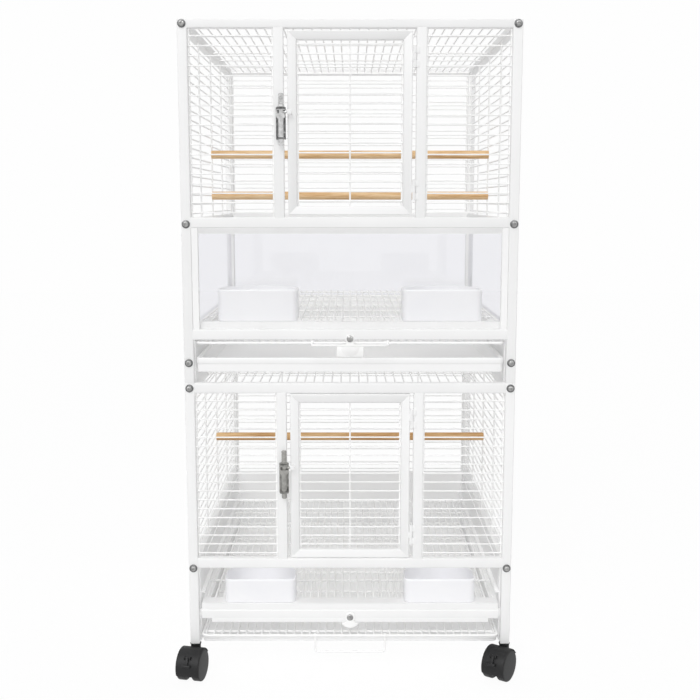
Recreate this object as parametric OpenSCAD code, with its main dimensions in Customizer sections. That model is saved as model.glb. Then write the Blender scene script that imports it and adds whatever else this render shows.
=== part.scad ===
// Two stacked bird cages on casters: an upper cage with clear lower panels that
// stands on a lower cage with twin-wheel casters. Square tube frames, welded wire panels,
// swing doors, pull-out grates and trays, perches and feed cups.
// Origin on the floor under the middle of the frame, front towards -Y, up is +Z.

/* [Frame] */
// Outer width of both cages
frame_w = 450; // [400:1:560]
// Outer depth of both cages
frame_d = 530; // [460:1:640]
// Side of the square post tube
tube = 13; // [11:0.5:16]
// Height of a frame rail
rail_h = 14; // [12:0.5:18]
// Height of the uppermost rail ring
top_rail_h = 11; // [9:0.5:16]
// Thickness of the sheet skirts and ledges
sheet_t = 1.5; // [1:0.1:2]

/* [Lower cage] */
// Height of the lower frame, foot to top
lower_h = 373; // [340:1:440]
// Underside of the lower cage's middle front rail above its foot
lower_mid = 111; // [104:1:125]
// Floor level of the lower cage above its foot
lower_floor = 59; // [57:1:66]
// Pull-out grate of the lower cage above its foot
lower_grate = 13; // [12.5:0.5:17]

/* [Upper cage] */
// Height of the upper frame, foot to top
upper_h = 479; // [440:1:560]
// Underside of the upper cage's middle rail above its foot
upper_mid = 210; // [190:1:230]
// Floor level of the upper cage above its foot
upper_floor = 83; // [78:1:92]
// Underside of the upper cage's low front rail above its foot
upper_low = 59.5; // [58:0.5:64]
// Pull-out grate of the upper cage above its foot
upper_grate = 55; // [52:0.5:56]
// Height of the upper tray
upper_tray_h = 19.5; // [14:0.5:24]
// Underside of the upper tray above its foot
upper_tray_z = 15.5; // [10:0.5:18]

/* [Wire] */
// Wire diameter of the cage panels
mesh_wire = 2; // [1.6:0.1:2.6]
// Diameter of the cross wires that hold a panel together
cross_wire = 2.4; // [2:0.1:3]
// Distance between the wires of the cage panels
mesh_pitch = 12.7; // [11:0.1:15]
// Distance between the cross wires
cross_pitch = 127; // [100:1:150]
// Distance between the floor wires
grate_pitch = 11.3; // [10:0.1:14]
// How far two welded wires sink into each other
weld = 0.3; // [0.2:0.1:0.5]

/* [Doors] */
// Width of both doors
door_w = 164; // [150:1:180]
// Gap beside each door
door_side_gap = 5; // [4.5:0.1:6]
// Gap above and below the upper door
upper_door_gap = 3; // [1:0.1:4]
// Gap above and below the lower door
lower_door_gap = 1.2; // [1:0.1:4]
// Width of the flat tube of a door
door_bar = 12; // [10:0.5:15]
// Thickness of a door
door_t = 10; // [8:0.5:12]
// Width of the two mullions beside the door
mullion_w = 13.5; // [11:0.5:16]
// Length of a hinge
hinge_len = 27; // [21:1:36]
// Distance of a hinge from the door's end
hinge_inset = 20; // [12:1:35]
// Diameter of a hinge pin
pin_d = 2.4; // [2:0.1:2.6]

/* [Latches] */
// Diameter of the latch rod
latch_rod_d = 7; // [6:0.1:7.5]
// Length of the latch rod
latch_rod_len = 67; // [60:1:80]
// Height of the latch bracket
bracket_h = 41; // [34:1:50]
// Radius of the half-moon turn plate
turn_r = 12.7; // [11:0.1:14]
// Reach of the upper turn plate below its screw
upper_turn_drop = 23; // [20:0.5:25]
// Reach of the lower turn plate below its screw
lower_turn_drop = 15.5; // [15:0.5:18]
// Thickness of the turn plate
turn_t = 1.6; // [1.2:0.1:2]

/* [Perches and cups] */
// Diameter of a perch dowel
perch_d = 12.7; // [10:0.1:14]
// Height of a cup in the upper cage
upper_cup_h = 43; // [30:1:55]
// Width of a cup in the upper cage
upper_cup_w = 109.5; // [90:0.5:120]
// Height of a cup in the lower cage
lower_cup_h = 34; // [25:1:40]
// Width of a cup in the lower cage
lower_cup_w = 100; // [85:0.5:115]
// Depth of every cup
cup_d = 74; // [60:1:90]
// Wall of a cup
cup_t = 2; // [1.5:0.1:3]
// Sideways place of every cup's middle
cup_x = 126; // [110:1:135]

/* [Panels] */
// Thickness of the clear panels
panel_t = 3; // [2:0.1:4]
// Width of the white channel round the front panel
channel_w = 8; // [6:0.5:12]

/* [Casters] */
// Distance from the floor to the foot of the posts
caster_h = 48.5; // [47:0.5:56]
// Diameter of a caster wheel
wheel_d = 44; // [38:1:45]
// Width of one caster wheel
wheel_w = 12; // [9:0.5:14]
// Distance from the swivel's axis to the wheel's axis
trail = 15; // [12:0.5:16]
// Turn of the front left and the back right caster as the cage stands
left_yaw = 12; // [0:1:45]
// Turn of the front right and the back left caster
right_yaw = 34; // [0:1:45]
// Diameter of the caster stem
stem_d = 8; // [6:0.1:8.5]

/* [Hidden] */

// Planes of the frame
half_w = frame_w / 2;
front_y = -frame_d / 2;
back_y = frame_d / 2;
inner_x = half_w - tube;
inner_y0 = front_y + tube;
inner_y1 = back_y - tube;
lower_z = caster_h;
upper_z = lower_z + lower_h;
side_low_h = rail_h;

// Bolts
bolt_d = 5;
bolt_hole_d = 5.2;
bolt_grip = 12;
washer_d = 11;
washer_t = 1.2;
bolt_head_d = 7.4;
bolt_head_h = 3;
upper_side_mid = upper_mid - 2;
lower_side_mid = lower_mid - 7;
lower_back_mid = lower_mid - rail_h;
upper_side_low = 21;
upper_bolt_z = [upper_side_low + side_low_h / 2, upper_side_mid + rail_h / 2,
    upper_h - top_rail_h / 2];
lower_bolt_z = [lower_side_mid + rail_h / 2, lower_h - rail_h / 2];

// Fits
slide_gap = 1.5;
seat_gap = 0.3;
pin_gap = 0.05;
turn_gap = 0.4;

// Grates
grate_wire = 2.4;
grate_cross = 3;
grate_stack = grate_wire + grate_cross - weld;
grate_cross_pitch = 85;
cross_inset = 20;
lower_tray_h = lower_grate - grate_wire / 2 - grate_cross + weld - sheet_t - 2 * seat_gap;
tray_floor = 2;
tray_rim_w = 6.5;
tray_inset = 1.2;
ledge_w = 12;
grate_w = 2 * (inner_x - sheet_t - slide_gap);
upper_handle_half = 4.5 * grate_pitch;
lower_handle_half = 49;
handle_wire = 3;
handle_reach = 24;
front_bar_d = 3.6;
bar_end = 0.4;
eye_w = 4;
eye_d = 7;
tab_w = 36;
tab_h = 18.5;

// Doors
mullion_x = door_w / 2 + door_side_gap;
upper_open_z0 = upper_z + upper_mid + rail_h;
upper_open_z1 = upper_z + upper_h - top_rail_h;
lower_open_z0 = lower_z + lower_mid + rail_h;
lower_open_z1 = lower_z + lower_h - rail_h;
hinge_x = door_w / 2 + door_side_gap / 2;
hinge_y = front_y - 1.5;
knuckle_d = door_side_gap - 0.6;

// Latches
latch_x = -mullion_x - mullion_w / 2 + 3.5;
latch_y = front_y - 6.5;
plate_t = 1.5;
ear_t = 2.5;
upper_hub_r = 5.6;
lower_hub_r = 6.8;
screw_d = 3;
screw_head_d = 9;
turn_y = front_y - turn_t - 1.4;
upper_screw_z = upper_z + upper_low + 2;
strip_drop = 22;
lower_rail_z = lower_floor - strip_drop;
lower_screw_z = lower_z + lower_rail_z + 3.4;
strip_gap = 3.8;

// Windows
window_z0 = upper_z + upper_low + rail_h;
window_z1 = upper_z + upper_mid;
groove = 4;

// Caster shapes, worked out from the wheel
wheel_r = wheel_d / 2;
web_t = 8;
wheel_gap = 0.6;
hood_gap = 0.8;
hood_t = 1.2;
hood_r = wheel_r + hood_gap + hood_t;
caster_w = web_t + 2 * (wheel_gap + wheel_w);
axle_d = 6;
collar_d = 15.5;
skirt_z = 13;
collar_top = caster_h - turn_gap;
stem_in_post = 28;
stem_in_collar = 9;
stem_x = half_w - tube / 2;
stem_y = frame_d / 2 - tube / 2;
brake_lean = 28;
brake_z = 6.5;
brake_out = 1.7;
brake_w = 12.6;
brake_y = -hood_r - brake_out;

// A wire along X with flat sides, d across the flats
module wire(len, d) {
    rotate([0, 90, 0])
        rotate([0, 0, 22.5])
            cylinder(h = len, d = d / cos(22.5), $fn = 8);
}

// Even places along a length, at a pitch, about its middle
function centred(len, pitch, inset) =
    let (n = floor((len / 2 - inset) / pitch))
    [for (i = [-n:n]) len / 2 + i * pitch];

// A welded panel in XY: wires along X at the rows, wires along Y at the cross places
module panel(w, h, rows, crosses, wire_d, cross_d) {
    for (y = rows)
        translate([0, y, 0]) wire(w, wire_d);
    for (x = crosses)
        translate([x, 0, -(wire_d + cross_d) / 2 + weld])
            rotate([0, 0, 90]) wire(h, cross_d);
}

// Rows of a cage panel, half a pitch above its lower edge
function rows(h) = [for (y = mesh_pitch / 2; y < h - mesh_wire; y = y + mesh_pitch) y];

// Cross wires with one wire at each end
function framed(list, len, d) = concat([d / 2], list, [len - d / 2]);

// A bar with its corner at the low end of each axis
module block(x0, x1, y0, y1, z0, z1) {
    translate([x0, y0, z0]) cube([x1 - x0, y1 - y0, z1 - z0]);
}

// Holes for the frame bolts through a front or a back frame
module bolt_bores(z0, heights, y0, y1) {
    for (side = [-1, 1], z = heights)
        translate([side * stem_x, y0, z0 + z])
            rotate([-90, 0, 0]) cylinder(h = y1 - y0, d = bolt_hole_d, $fn = 32);
}

// Holes for the caster stems in the feet of the lower posts
module stem_bores(y) {
    for (side = [-1, 1])
        translate([side * stem_x, y, lower_z - 1])
            cylinder(h = stem_in_post + 1, d = stem_d, $fn = 48);
}

// Two posts and the rails between them
module end_frame(y, z0, h, rails) {
    for (side = [-1, 1])
        translate([side * stem_x - tube / 2, y, z0]) cube([tube, tube, h]);
    for (rail = rails)
        block(-half_w, half_w, y, y + tube, z0 + rail[0], z0 + rail[0] + rail[1]);
}

module mullions(z0, z1) {
    for (side = [-1, 1])
        translate([side * (mullion_x + mullion_w / 2) - mullion_w / 2, front_y, z0 - 1])
            cube([mullion_w, tube, z1 - z0 + 2]);
}

// Sill behind the front rail that carries the floor grate and the cups
module sill(z, y0, half) {
    block(-half, half, y0, inner_y0 + ledge_w, z - sheet_t, z);
    block(-half, half, y0, y0 + sheet_t, z - 10, z);
}

module upper_front_frame() {
    color("whitesmoke") difference() {
        union() {
            end_frame(front_y, upper_z, upper_h, [[upper_low, rail_h],
                [upper_mid, rail_h], [upper_h - top_rail_h, top_rail_h]]);
            mullions(upper_open_z0, upper_open_z1);
            sill(upper_z + upper_floor, front_y + tube - sheet_t,
                inner_x - channel_w - seat_gap);
        }
        bolt_bores(upper_z, upper_bolt_z, front_y - 1, inner_y0 + 1);
    }
}

module lower_front_frame() {
    strip = inner_x - strip_gap;
    color("whitesmoke") difference() {
        union() {
            end_frame(front_y, lower_z, lower_h, [[lower_mid, rail_h],
                [lower_h - rail_h, rail_h]]);
            mullions(lower_open_z0, lower_open_z1);
            sill(lower_z + lower_floor, front_y + 1, strip);
            block(-strip, strip, front_y, inner_y0, lower_z + lower_rail_z,
                lower_z + lower_floor - 9);
            block(-strip + rail_h, strip - rail_h, front_y, front_y + sheet_t,
                lower_z + lower_rail_z - 5, lower_z + lower_rail_z + 1);
            for (side = [-1, 1])
                block(side * (inner_x + 1 - strip_gap / 2) - strip_gap,
                    side * (inner_x + 1 - strip_gap / 2) + strip_gap,
                    inner_y0 - 5, inner_y0, lower_z + lower_rail_z,
                    lower_z + lower_rail_z + rail_h - 2);
        }
        bolt_bores(lower_z, lower_bolt_z, front_y - 1, inner_y0 + 1);
        stem_bores(-stem_y);
        translate([0, front_y - 1, lower_screw_z])
            rotate([-90, 0, 0]) cylinder(h = 11, d = screw_d, $fn = 32);
    }
}

// Skirt sheet across the back, below the lowest panel
module back_skirt(z0, z1) {
    block(-inner_x - 1, inner_x + 1, inner_y1, inner_y1 + sheet_t, z0, z1);
}

module upper_back_frame() {
    color("whitesmoke") difference() {
        union() {
            end_frame(inner_y1, upper_z, upper_h, [[upper_side_low, rail_h],
                [upper_low, rail_h], [upper_mid, rail_h], [upper_h - top_rail_h, top_rail_h]]);
            back_skirt(upper_z + upper_side_low, upper_z + upper_low + 1);
        }
        bolt_bores(upper_z, upper_bolt_z, inner_y1 - 1, back_y + 1);
    }
}

module lower_back_frame() {
    color("whitesmoke") difference() {
        union() {
            end_frame(inner_y1, lower_z, lower_h, [[0, rail_h], [lower_back_mid, rail_h],
                [lower_h - rail_h, rail_h]]);
            back_skirt(lower_z + 1, lower_z + lower_back_mid + 1);
        }
        bolt_bores(lower_z, lower_bolt_z, inner_y1 - 1, back_y + 1);
        stem_bores(stem_y);
    }
}

// One side: rails between the posts, a skirt sheet and the ledges that carry the drawers
module side_frame(z0, rails, skirt, ledges, heights) {
    difference() {
        union() {
            for (rail = rails)
                block(inner_x, half_w, inner_y0, inner_y1, z0 + rail[0],
                    z0 + rail[0] + rail[1]);
            block(inner_x - sheet_t, inner_x, inner_y0, inner_y1, z0 + skirt[0],
                z0 + skirt[1]);
            for (z = ledges)
                block(inner_x - ledge_w, inner_x - sheet_t / 2, inner_y0 + ledge_w,
                    inner_y1, z0 + z - sheet_t, z0 + z);
        }
        for (z = heights, y = [inner_y0 - 1, inner_y1 - bolt_grip])
            translate([stem_x, y, z0 + z])
                rotate([-90, 0, 0]) cylinder(h = bolt_grip + 1, d = bolt_hole_d, $fn = 32);
    }
}

module upper_side_frames() {
    color("whitesmoke") for (side = [0, 1]) mirror([side, 0, 0])
        side_frame(upper_z, [[upper_side_low, rail_h], [upper_low, rail_h],
            [upper_side_mid, rail_h], [upper_h - top_rail_h, top_rail_h]],
            [0, upper_floor - grate_stack],
            [upper_tray_z - seat_gap, upper_grate - grate_stack + grate_wire / 2 - seat_gap,
            upper_floor - grate_stack], upper_bolt_z);
}

module lower_side_frames() {
    fold = lower_z + lower_floor + 12.5;
    color("whitesmoke") for (side = [0, 1]) mirror([side, 0, 0]) {
        side_frame(lower_z, [[0, rail_h], [lower_side_mid, rail_h],
            [lower_h - rail_h, rail_h]], [0, lower_side_mid + 1],
            [sheet_t, lower_floor - grate_stack], lower_bolt_z);
        block(inner_x - 7, inner_x - sheet_t / 2, inner_y0 + 1, inner_y1, fold - sheet_t, fold);
    }
}

// The two wire panels beside the door
module front_mesh(z0, z1) {
    x0 = mullion_x + mullion_w;
    w = inner_x - x0;
    for (x = [-inner_x, x0])
        translate([x, front_y + tube / 2, z0])
            rotate([90, 0, 0])
                panel(w, z1 - z0, rows(z1 - z0), framed([], w, cross_wire), mesh_wire,
                    cross_wire);
}

module back_mesh(z0, z1) {
    w = 2 * inner_x;
    translate([-inner_x, back_y - tube / 2, z0])
        rotate([90, 0, 0])
            panel(w, z1 - z0, rows(z1 - z0), framed(centred(w, cross_pitch, cross_inset), w,
                cross_wire), mesh_wire, cross_wire);
}

module side_mesh(z0, z1) {
    w = inner_y1 - inner_y0;
    for (side = [0, 1]) mirror([side, 0, 0])
        translate([stem_x, inner_y0, z0])
            rotate([90, 0, 90])
                panel(w, z1 - z0, rows(z1 - z0),
                    framed(centred(w, cross_pitch, cross_inset), w, cross_wire), mesh_wire,
                    cross_wire);
}

// Wires front to back with a few cross wires, under the top
module top_mesh(z, step) {
    w = 2 * inner_x;
    d = inner_y1 - inner_y0;
    translate([inner_x, inner_y0, z])
        rotate([0, 0, 90])
            panel(d, w, centred(w, mesh_pitch, 5), framed(centred(d, step, cross_inset), d,
                cross_wire), mesh_wire, cross_wire);
}

module upper_front_mesh() {
    color("white") front_mesh(upper_open_z0, upper_open_z1);
}

module upper_back_mesh() {
    color("white") back_mesh(upper_open_z0, upper_open_z1);
}

module upper_side_meshes() {
    color("white") side_mesh(upper_z + upper_side_mid + rail_h, upper_open_z1);
}

module upper_top_mesh() {
    color("white") top_mesh(upper_z + upper_h - top_rail_h / 2, cross_pitch * 2 / 3);
}

module lower_front_mesh() {
    color("white") front_mesh(lower_open_z0, lower_open_z1);
}

module lower_back_mesh() {
    color("white") back_mesh(lower_z + lower_back_mid + rail_h, lower_open_z1);
}

module lower_side_meshes() {
    color("white") side_mesh(lower_z + lower_side_mid + rail_h, lower_open_z1);
}

module lower_top_mesh() {
    color("white") top_mesh(lower_z + lower_h - rail_h / 2, cross_pitch);
}

// Places of the two hinges on a door that spans z0 to z1
function hinge_places(z0, z1) = [z0 + hinge_inset, z1 - hinge_inset - hinge_len];

// Door frame with the middle knuckle of each hinge and the keeper for the latch arm
module door_frame(z0, z1) {
    x = door_w / 2;
    difference() {
        union() {
            difference() {
                block(-x, x, front_y, front_y + door_t, z0, z1);
                block(-x + door_bar, x - door_bar, front_y - 1, front_y + door_t + 1,
                    z0 + door_bar, z1 - door_bar);
            }
            for (z = hinge_places(z0, z1)) {
                translate([hinge_x, hinge_y, z + hinge_len / 3 + seat_gap])
                    cylinder(h = hinge_len / 3 - 2 * seat_gap, d = knuckle_d, $fn = 48);
                block(x - 1, hinge_x, hinge_y + knuckle_d / 2 - 1.4, hinge_y + knuckle_d / 2,
                    z + hinge_len / 3 + seat_gap, z + 2 * hinge_len / 3 - seat_gap);
            }
            block(-x, -x + keeper_w, latch_y - arm_d / 2, front_y,
                latch_foot(z0, z1) + bracket_h - arm_drop - arm_d / 2 - 1,
                latch_foot(z0, z1) + bracket_h - arm_drop + arm_d / 2 + 1);
        }
        for (z = hinge_places(z0, z1))
            translate([hinge_x, hinge_y, z - 1])
                cylinder(h = hinge_len + 2, d = pin_d + 2 * pin_gap, $fn = 48);
    }
}

// Outer knuckles on the mullion with the pin through them
module door_hinges(z0, z1) {
    for (z = hinge_places(z0, z1)) {
        translate([hinge_x, hinge_y, z]) cylinder(h = hinge_len, d = pin_d, $fn = 48);
        for (low = [z, z + 2 * hinge_len / 3]) {
            translate([hinge_x, hinge_y, low])
                cylinder(h = hinge_len / 3, d = knuckle_d, $fn = 48);
            block(hinge_x, mullion_x + 4, front_y - 1.3, front_y, low, low + hinge_len / 3);
        }
    }
}

module door_mesh(z0, z1) {
    w = door_w - 2 * door_bar;
    h = z1 - z0 - 2 * door_bar;
    translate([-w / 2, front_y + door_t / 2, z0 + door_bar])
        rotate([90, 0, 0])
            panel(w, h, rows(h), framed([w / 2], w, cross_wire), mesh_wire, cross_wire);
}

upper_door_z0 = upper_open_z0 + upper_door_gap;
upper_door_z1 = upper_open_z1 - upper_door_gap;
lower_door_z0 = lower_open_z0 + lower_door_gap;
lower_door_z1 = lower_open_z1 - lower_door_gap;

module upper_door_frame() {
    color("whitesmoke") door_frame(upper_door_z0, upper_door_z1);
}

module upper_door_mesh() {
    color("white") door_mesh(upper_door_z0, upper_door_z1);
}

module upper_door_hinges() {
    color("gainsboro") door_hinges(upper_door_z0, upper_door_z1);
}

module lower_door_frame() {
    color("whitesmoke") door_frame(lower_door_z0, lower_door_z1);
}

module lower_door_mesh() {
    color("white") door_mesh(lower_door_z0, lower_door_z1);
}

module lower_door_hinges() {
    color("gainsboro") door_hinges(lower_door_z0, lower_door_z1);
}

// Foot of the latch bracket, halfway up a door
function latch_foot(z0, z1) = (z0 + z1) / 2 - bracket_h / 2;
arm_drop = ear_t + 3.2;
arm_d = 4.4;
arm_reach = -latch_x - door_w / 2 - 0.4;
keeper_w = 6;

// Back plate, two ears with a hole for the rod, and a curved guard between them
module latch_bracket(z) {
    guard_d = latch_rod_d + 6;
    guard_h = bracket_h * 0.36;
    difference() {
        union() {
            block(latch_x - 7, latch_x + 6, front_y - plate_t, front_y, z, z + bracket_h);
            for (low = [z, z + bracket_h - ear_t]) {
                block(latch_x - 7, latch_x + 6, latch_y, front_y, low, low + ear_t);
                translate([latch_x, latch_y, low])
                    cylinder(h = ear_t, d = guard_d, $fn = 64);
            }
            difference() {
                translate([latch_x, latch_y, z + bracket_h - guard_h])
                    cylinder(h = guard_h, d = guard_d, $fn = 64);
                translate([latch_x, latch_y, z - 1])
                    cylinder(h = bracket_h, d = latch_rod_d + 2, $fn = 64);
                block(latch_x - 20, latch_x + 20, latch_y + 1, latch_y + 20, z - 1,
                    z + bracket_h);
                block(latch_x, latch_x + 20, latch_y - 5, latch_y + 20, z - 1,
                    z + bracket_h - ear_t);
                block(latch_x - 4, latch_x + 20, latch_y - 20, latch_y + 20,
                    z + bracket_h - arm_drop - arm_d / 2 - seat_gap, z + bracket_h - ear_t);
            }
        }
        translate([latch_x, latch_y, z - 1])
            cylinder(h = bracket_h + 2, d = latch_rod_d + 2 * pin_gap, $fn = 64);
    }
}

// Rod with the arm that crosses the door's edge, and a grooved grip on top
module latch_rod(z) {
    foot = z - (latch_rod_len - bracket_h) * 0.3;
    top = foot + latch_rod_len;
    difference() {
        translate([latch_x, latch_y, foot])
            cylinder(h = latch_rod_len, d = latch_rod_d, $fn = 64);
        for (i = [0:3])
            translate([latch_x, latch_y, top - 4 - i * 3]) difference() {
                cylinder(h = 1, d = latch_rod_d + 1, $fn = 64);
                translate([0, 0, -1]) cylinder(h = 3, d = latch_rod_d - 0.8, $fn = 64);
            }
    }
    translate([latch_x, latch_y, z + bracket_h - arm_drop])
        rotate([0, 90, 0]) cylinder(h = arm_reach, d = arm_d, $fn = 32);
    translate([latch_x, latch_y, z + bracket_h + seat_gap])
        cylinder(h = 1.5, d = latch_rod_d + 3, $fn = 64);
}

module upper_latch_bracket() {
    color("dimgray") latch_bracket(latch_foot(upper_door_z0, upper_door_z1));
}

module upper_latch_rod() {
    color("silver") latch_rod(latch_foot(upper_door_z0, upper_door_z1));
}

module lower_latch_bracket() {
    color("darkgray") latch_bracket(latch_foot(lower_door_z0, lower_door_z1));
}

module lower_latch_rod() {
    color("darkgray") latch_rod(latch_foot(lower_door_z0, lower_door_z1));
}

// Dowel across the cage: its ends meet the side wires, and a slot in each grips the cross wire
// in the middle of the side panel
module perch(z) {
    reach = stem_x - mesh_wire / 2 - seat_gap;
    wire_x = stem_x - (mesh_wire + cross_wire) / 2 + weld;
    slot_x = wire_x - cross_wire / 2 - seat_gap;
    difference() {
        translate([-reach, 0, z])
            rotate([0, 90, 0]) cylinder(h = 2 * reach, d = perch_d, $fn = 64);
        for (side = [-1, 1])
            translate([side * reach, 0, z])
                cube([2 * (reach - slot_x), cross_wire + 2 * seat_gap, 2 * perch_d],
                    center = true);
    }
}

upper_side_z0 = upper_z + upper_side_mid + rail_h;
lower_side_z0 = lower_z + lower_side_mid + rail_h;

module upper_perches() {
    color("burlywood") for (row = [2.5, 7.5]) perch(upper_side_z0 + row * mesh_pitch);
}

module lower_perch() {
    color("peru") perch(lower_side_z0 + 9.5 * mesh_pitch);
}

panel_y = front_y + 5;

module upper_front_window() {
    half = inner_x - channel_w + groove - seat_gap;
    color("aliceblue", 0.35)
        block(-half, half, panel_y, panel_y + panel_t, window_z0 + seat_gap,
            window_z1 - seat_gap);
}

module upper_window_channels() {
    half = inner_x - seat_gap;
    color("white") difference() {
        union() {
            for (side = [-1, 1])
                translate([side * (half - channel_w / 2) - channel_w / 2, front_y + 1, window_z0])
                    cube([channel_w, tube - 3, window_z1 - window_z0]);
            block(-half, half, inner_y0 - 3, inner_y0, window_z1 - channel_w, window_z1);
        }
        block(-half + channel_w - groove, half - channel_w + groove, panel_y - seat_gap,
            panel_y + panel_t + seat_gap, window_z0 - 1, window_z1 + 1);
    }
}

// Clear side and back panels, standing on the low rails
module upper_fixed_windows() {
    z0 = upper_z + upper_low + rail_h;
    color("aliceblue", 0.35) {
        for (side = [-1, 1])
            translate([side * stem_x - panel_t / 2, inner_y0, z0])
                cube([panel_t, inner_y1 - inner_y0, upper_z + upper_side_mid - z0]);
        block(-inner_x, inner_x, back_y - tube / 2, back_y - tube / 2 + panel_t, z0, window_z1);
    }
}

// Floor of wires front to back on cross wires
module floor_grate(z) {
    w = grate_w;
    y0 = inner_y0 + ledge_w + seat_gap;
    d = inner_y1 - seat_gap - y0;
    translate([w / 2, y0, z - grate_wire / 2])
        rotate([0, 0, 90])
            panel(d, w, centred(w, grate_pitch, 2), framed(centred(d, grate_cross_pitch,
                cross_inset), d, grate_cross), grate_wire, grate_cross);
}

module upper_floor_grate() {
    color("white") floor_grate(upper_z + upper_floor);
}

module lower_floor_grate() {
    color("white") floor_grate(lower_z + lower_floor);
}

// Pull-out grate: floor wires, cross wires below, and a round front bar for the handle
module pull_grate(z, bar_y) {
    w = grate_w;
    d = inner_y1 - 2 - bar_y;
    translate([w / 2, bar_y, z])
        rotate([0, 0, 90])
            panel(d, w, framed(centred(w, grate_pitch, 4), w, grate_wire),
                concat([cross_inset], centred(d, grate_cross_pitch, 2 * cross_inset),
                [d - grate_cross / 2]), grate_wire, grate_cross);
    translate([-w / 2 - bar_end, bar_y, z])
        rotate([0, 90, 0]) cylinder(h = w + 2 * bar_end, d = front_bar_d, $fn = 32);
}

// Tab that carries the turn plate in front of the upper rail
module turn_tab() {
    y = turn_y + turn_t + seat_gap;
    bar_z = upper_z + upper_grate;
    difference() {
        union() {
            block(-tab_w / 2, tab_w / 2, y, y + 1, bar_z - tab_h, bar_z - 3.4);
            block(-5, 5, y, y + 1, bar_z - 4, upper_screw_z + 5);
        }
        translate([0, y - 1, upper_screw_z])
            rotate([-90, 0, 0]) cylinder(h = 4, d = screw_d + 0.01, $fn = 32);
    }
}

upper_bar_y = front_y + 3;
lower_bar_y = front_y - 1;

module upper_pull_grate() {
    color("white") union() {
        pull_grate(upper_z + upper_grate, upper_bar_y);
        turn_tab();
        block(-3, 3, turn_y + turn_t + seat_gap, upper_bar_y, upper_z + upper_grate - 1.5,
            upper_z + upper_grate + 0.5);
    }
}

module lower_pull_grate() {
    color("white") pull_grate(lower_z + lower_grate, lower_bar_y);
}

// Wire handle, drawn hanging from the bar at the origin
module handle(half) {
    bore = front_bar_d + 2 * pin_gap;
    difference() {
        union() {
            for (side = [-1, 1]) {
                translate([side * half - eye_w / 2, 0, 0])
                    rotate([0, 90, 0]) cylinder(h = eye_w, d = eye_d, $fn = 48);
                translate([side * half, 0, -handle_reach])
                    cylinder(h = handle_reach, d = handle_wire, $fn = 32);
                translate([side * half, 0, -handle_reach])
                    sphere(d = handle_wire, $fn = 32);
            }
            translate([-half, 0, -handle_reach])
                rotate([0, 90, 0]) cylinder(h = 2 * half, d = handle_wire, $fn = 32);
        }
        translate([-half - eye_w, 0, 0])
            rotate([0, 90, 0]) cylinder(h = 2 * (half + eye_w), d = bore, $fn = 64);
    }
}

module upper_grate_handle() {
    color("white") translate([0, upper_bar_y, upper_z + upper_grate])
        rotate([-90, 0, 0]) handle(upper_handle_half);
}

module lower_grate_handle() {
    color("white") translate([0, lower_bar_y, lower_z + lower_grate])
        handle(lower_handle_half);
}

// Half-moon plate that hangs from its screw: hub, shoulders and a round lower edge
module turn_plate(z, drop, r, hub_r, shoulder) {
    centre = drop - r;
    half = sqrt(r * r - (shoulder - centre) * (shoulder - centre));
    neck = hub_r - 0.6;
    translate([0, turn_y + turn_t, z]) rotate([90, 0, 0]) linear_extrude(turn_t) difference() {
        union() {
            circle(r = hub_r, $fn = 64);
            polygon([[-neck, 0], [-neck, 1 - hub_r], [-half, -shoulder], [-half, -shoulder - 0.01],
                [half, -shoulder - 0.01], [half, -shoulder], [neck, 1 - hub_r], [neck, 0]]);
            intersection() {
                translate([0, -centre]) circle(r = r, $fn = 96);
                translate([-r - 1, -drop - 1]) square([2 * r + 2, drop + 1 - shoulder]);
            }
        }
        circle(d = screw_d + 2 * pin_gap, $fn = 48);
    }
}

// Screw with a domed head in front of the turn plate
module turn_screw(z, tail) {
    translate([0, turn_y - seat_gap, z]) {
        rotate([-90, 0, 0]) cylinder(h = tail, d = screw_d, $fn = 32);
        rotate([90, 0, 0]) difference() {
            cylinder(h = 2.2, d = screw_head_d, $fn = 48);
            translate([-screw_head_d, -0.6, 1.2]) cube([2 * screw_head_d, 1.2, 2]);
        }
    }
}

module upper_turn_plate() {
    color("white") turn_plate(upper_screw_z, upper_turn_drop, turn_r, upper_hub_r, 8.8);
}

module lower_turn_plate() {
    color("white") turn_plate(lower_screw_z, lower_turn_drop, turn_r + 1.3, lower_hub_r, 8.4);
}

module upper_turn_screw() {
    color("gray") turn_screw(upper_screw_z, turn_t + 2 * seat_gap + 1);
}

// Rounded rectangle with true arcs
module rounded(w, d, r) {
    union() {
        square([w, d - 2 * r], center = true);
        square([w - 2 * r, d], center = true);
        for (x = [-1, 1], y = [-1, 1])
            translate([x * (w / 2 - r), y * (d / 2 - r)]) circle(r = r, $fn = 48);
    }
}

// Shallow tray with a hemmed rim
module tray(z, h, y0) {
    w = grate_w;
    d = inner_y1 - 3 - y0;
    rim = h * 0.45;
    translate([0, y0 + d / 2, z]) difference() {
        union() {
            translate([0, 0, h - rim]) linear_extrude(rim) rounded(w, d, 6);
            linear_extrude(h) rounded(w - 2 * tray_inset, d - 2 * tray_inset, 5);
        }
        translate([0, 0, tray_floor]) linear_extrude(h) rounded(w - 2 * tray_rim_w,
            d - 2 * tray_rim_w, 4);
    }
}

module upper_tray() {
    color("white") tray(upper_z + upper_tray_z, upper_tray_h, front_y + 0.5);
}

module lower_tray() {
    color("white") tray(lower_z + sheet_t + seat_gap, lower_tray_h, front_y + 4.5);
}

// Outline of a feed cup: straight front, curved back
module cup_outline(w, d, r) {
    arc_r = (w * w / 4 + d * d / 4) / d;
    translate([-w / 2, r]) square([w, d / 2 - r]);
    translate([-w / 2 + r, 0]) square([w - 2 * r, r + 0.01]);
    for (x = [-1, 1])
        translate([x * (w / 2 - r), r]) circle(r = r, $fn = 48);
    intersection() {
        translate([0, d - arc_r]) circle(r = arc_r, $fn = 128);
        translate([-w / 2, d / 2 - 1]) square([w, d / 2 + 1]);
    }
}

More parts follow.
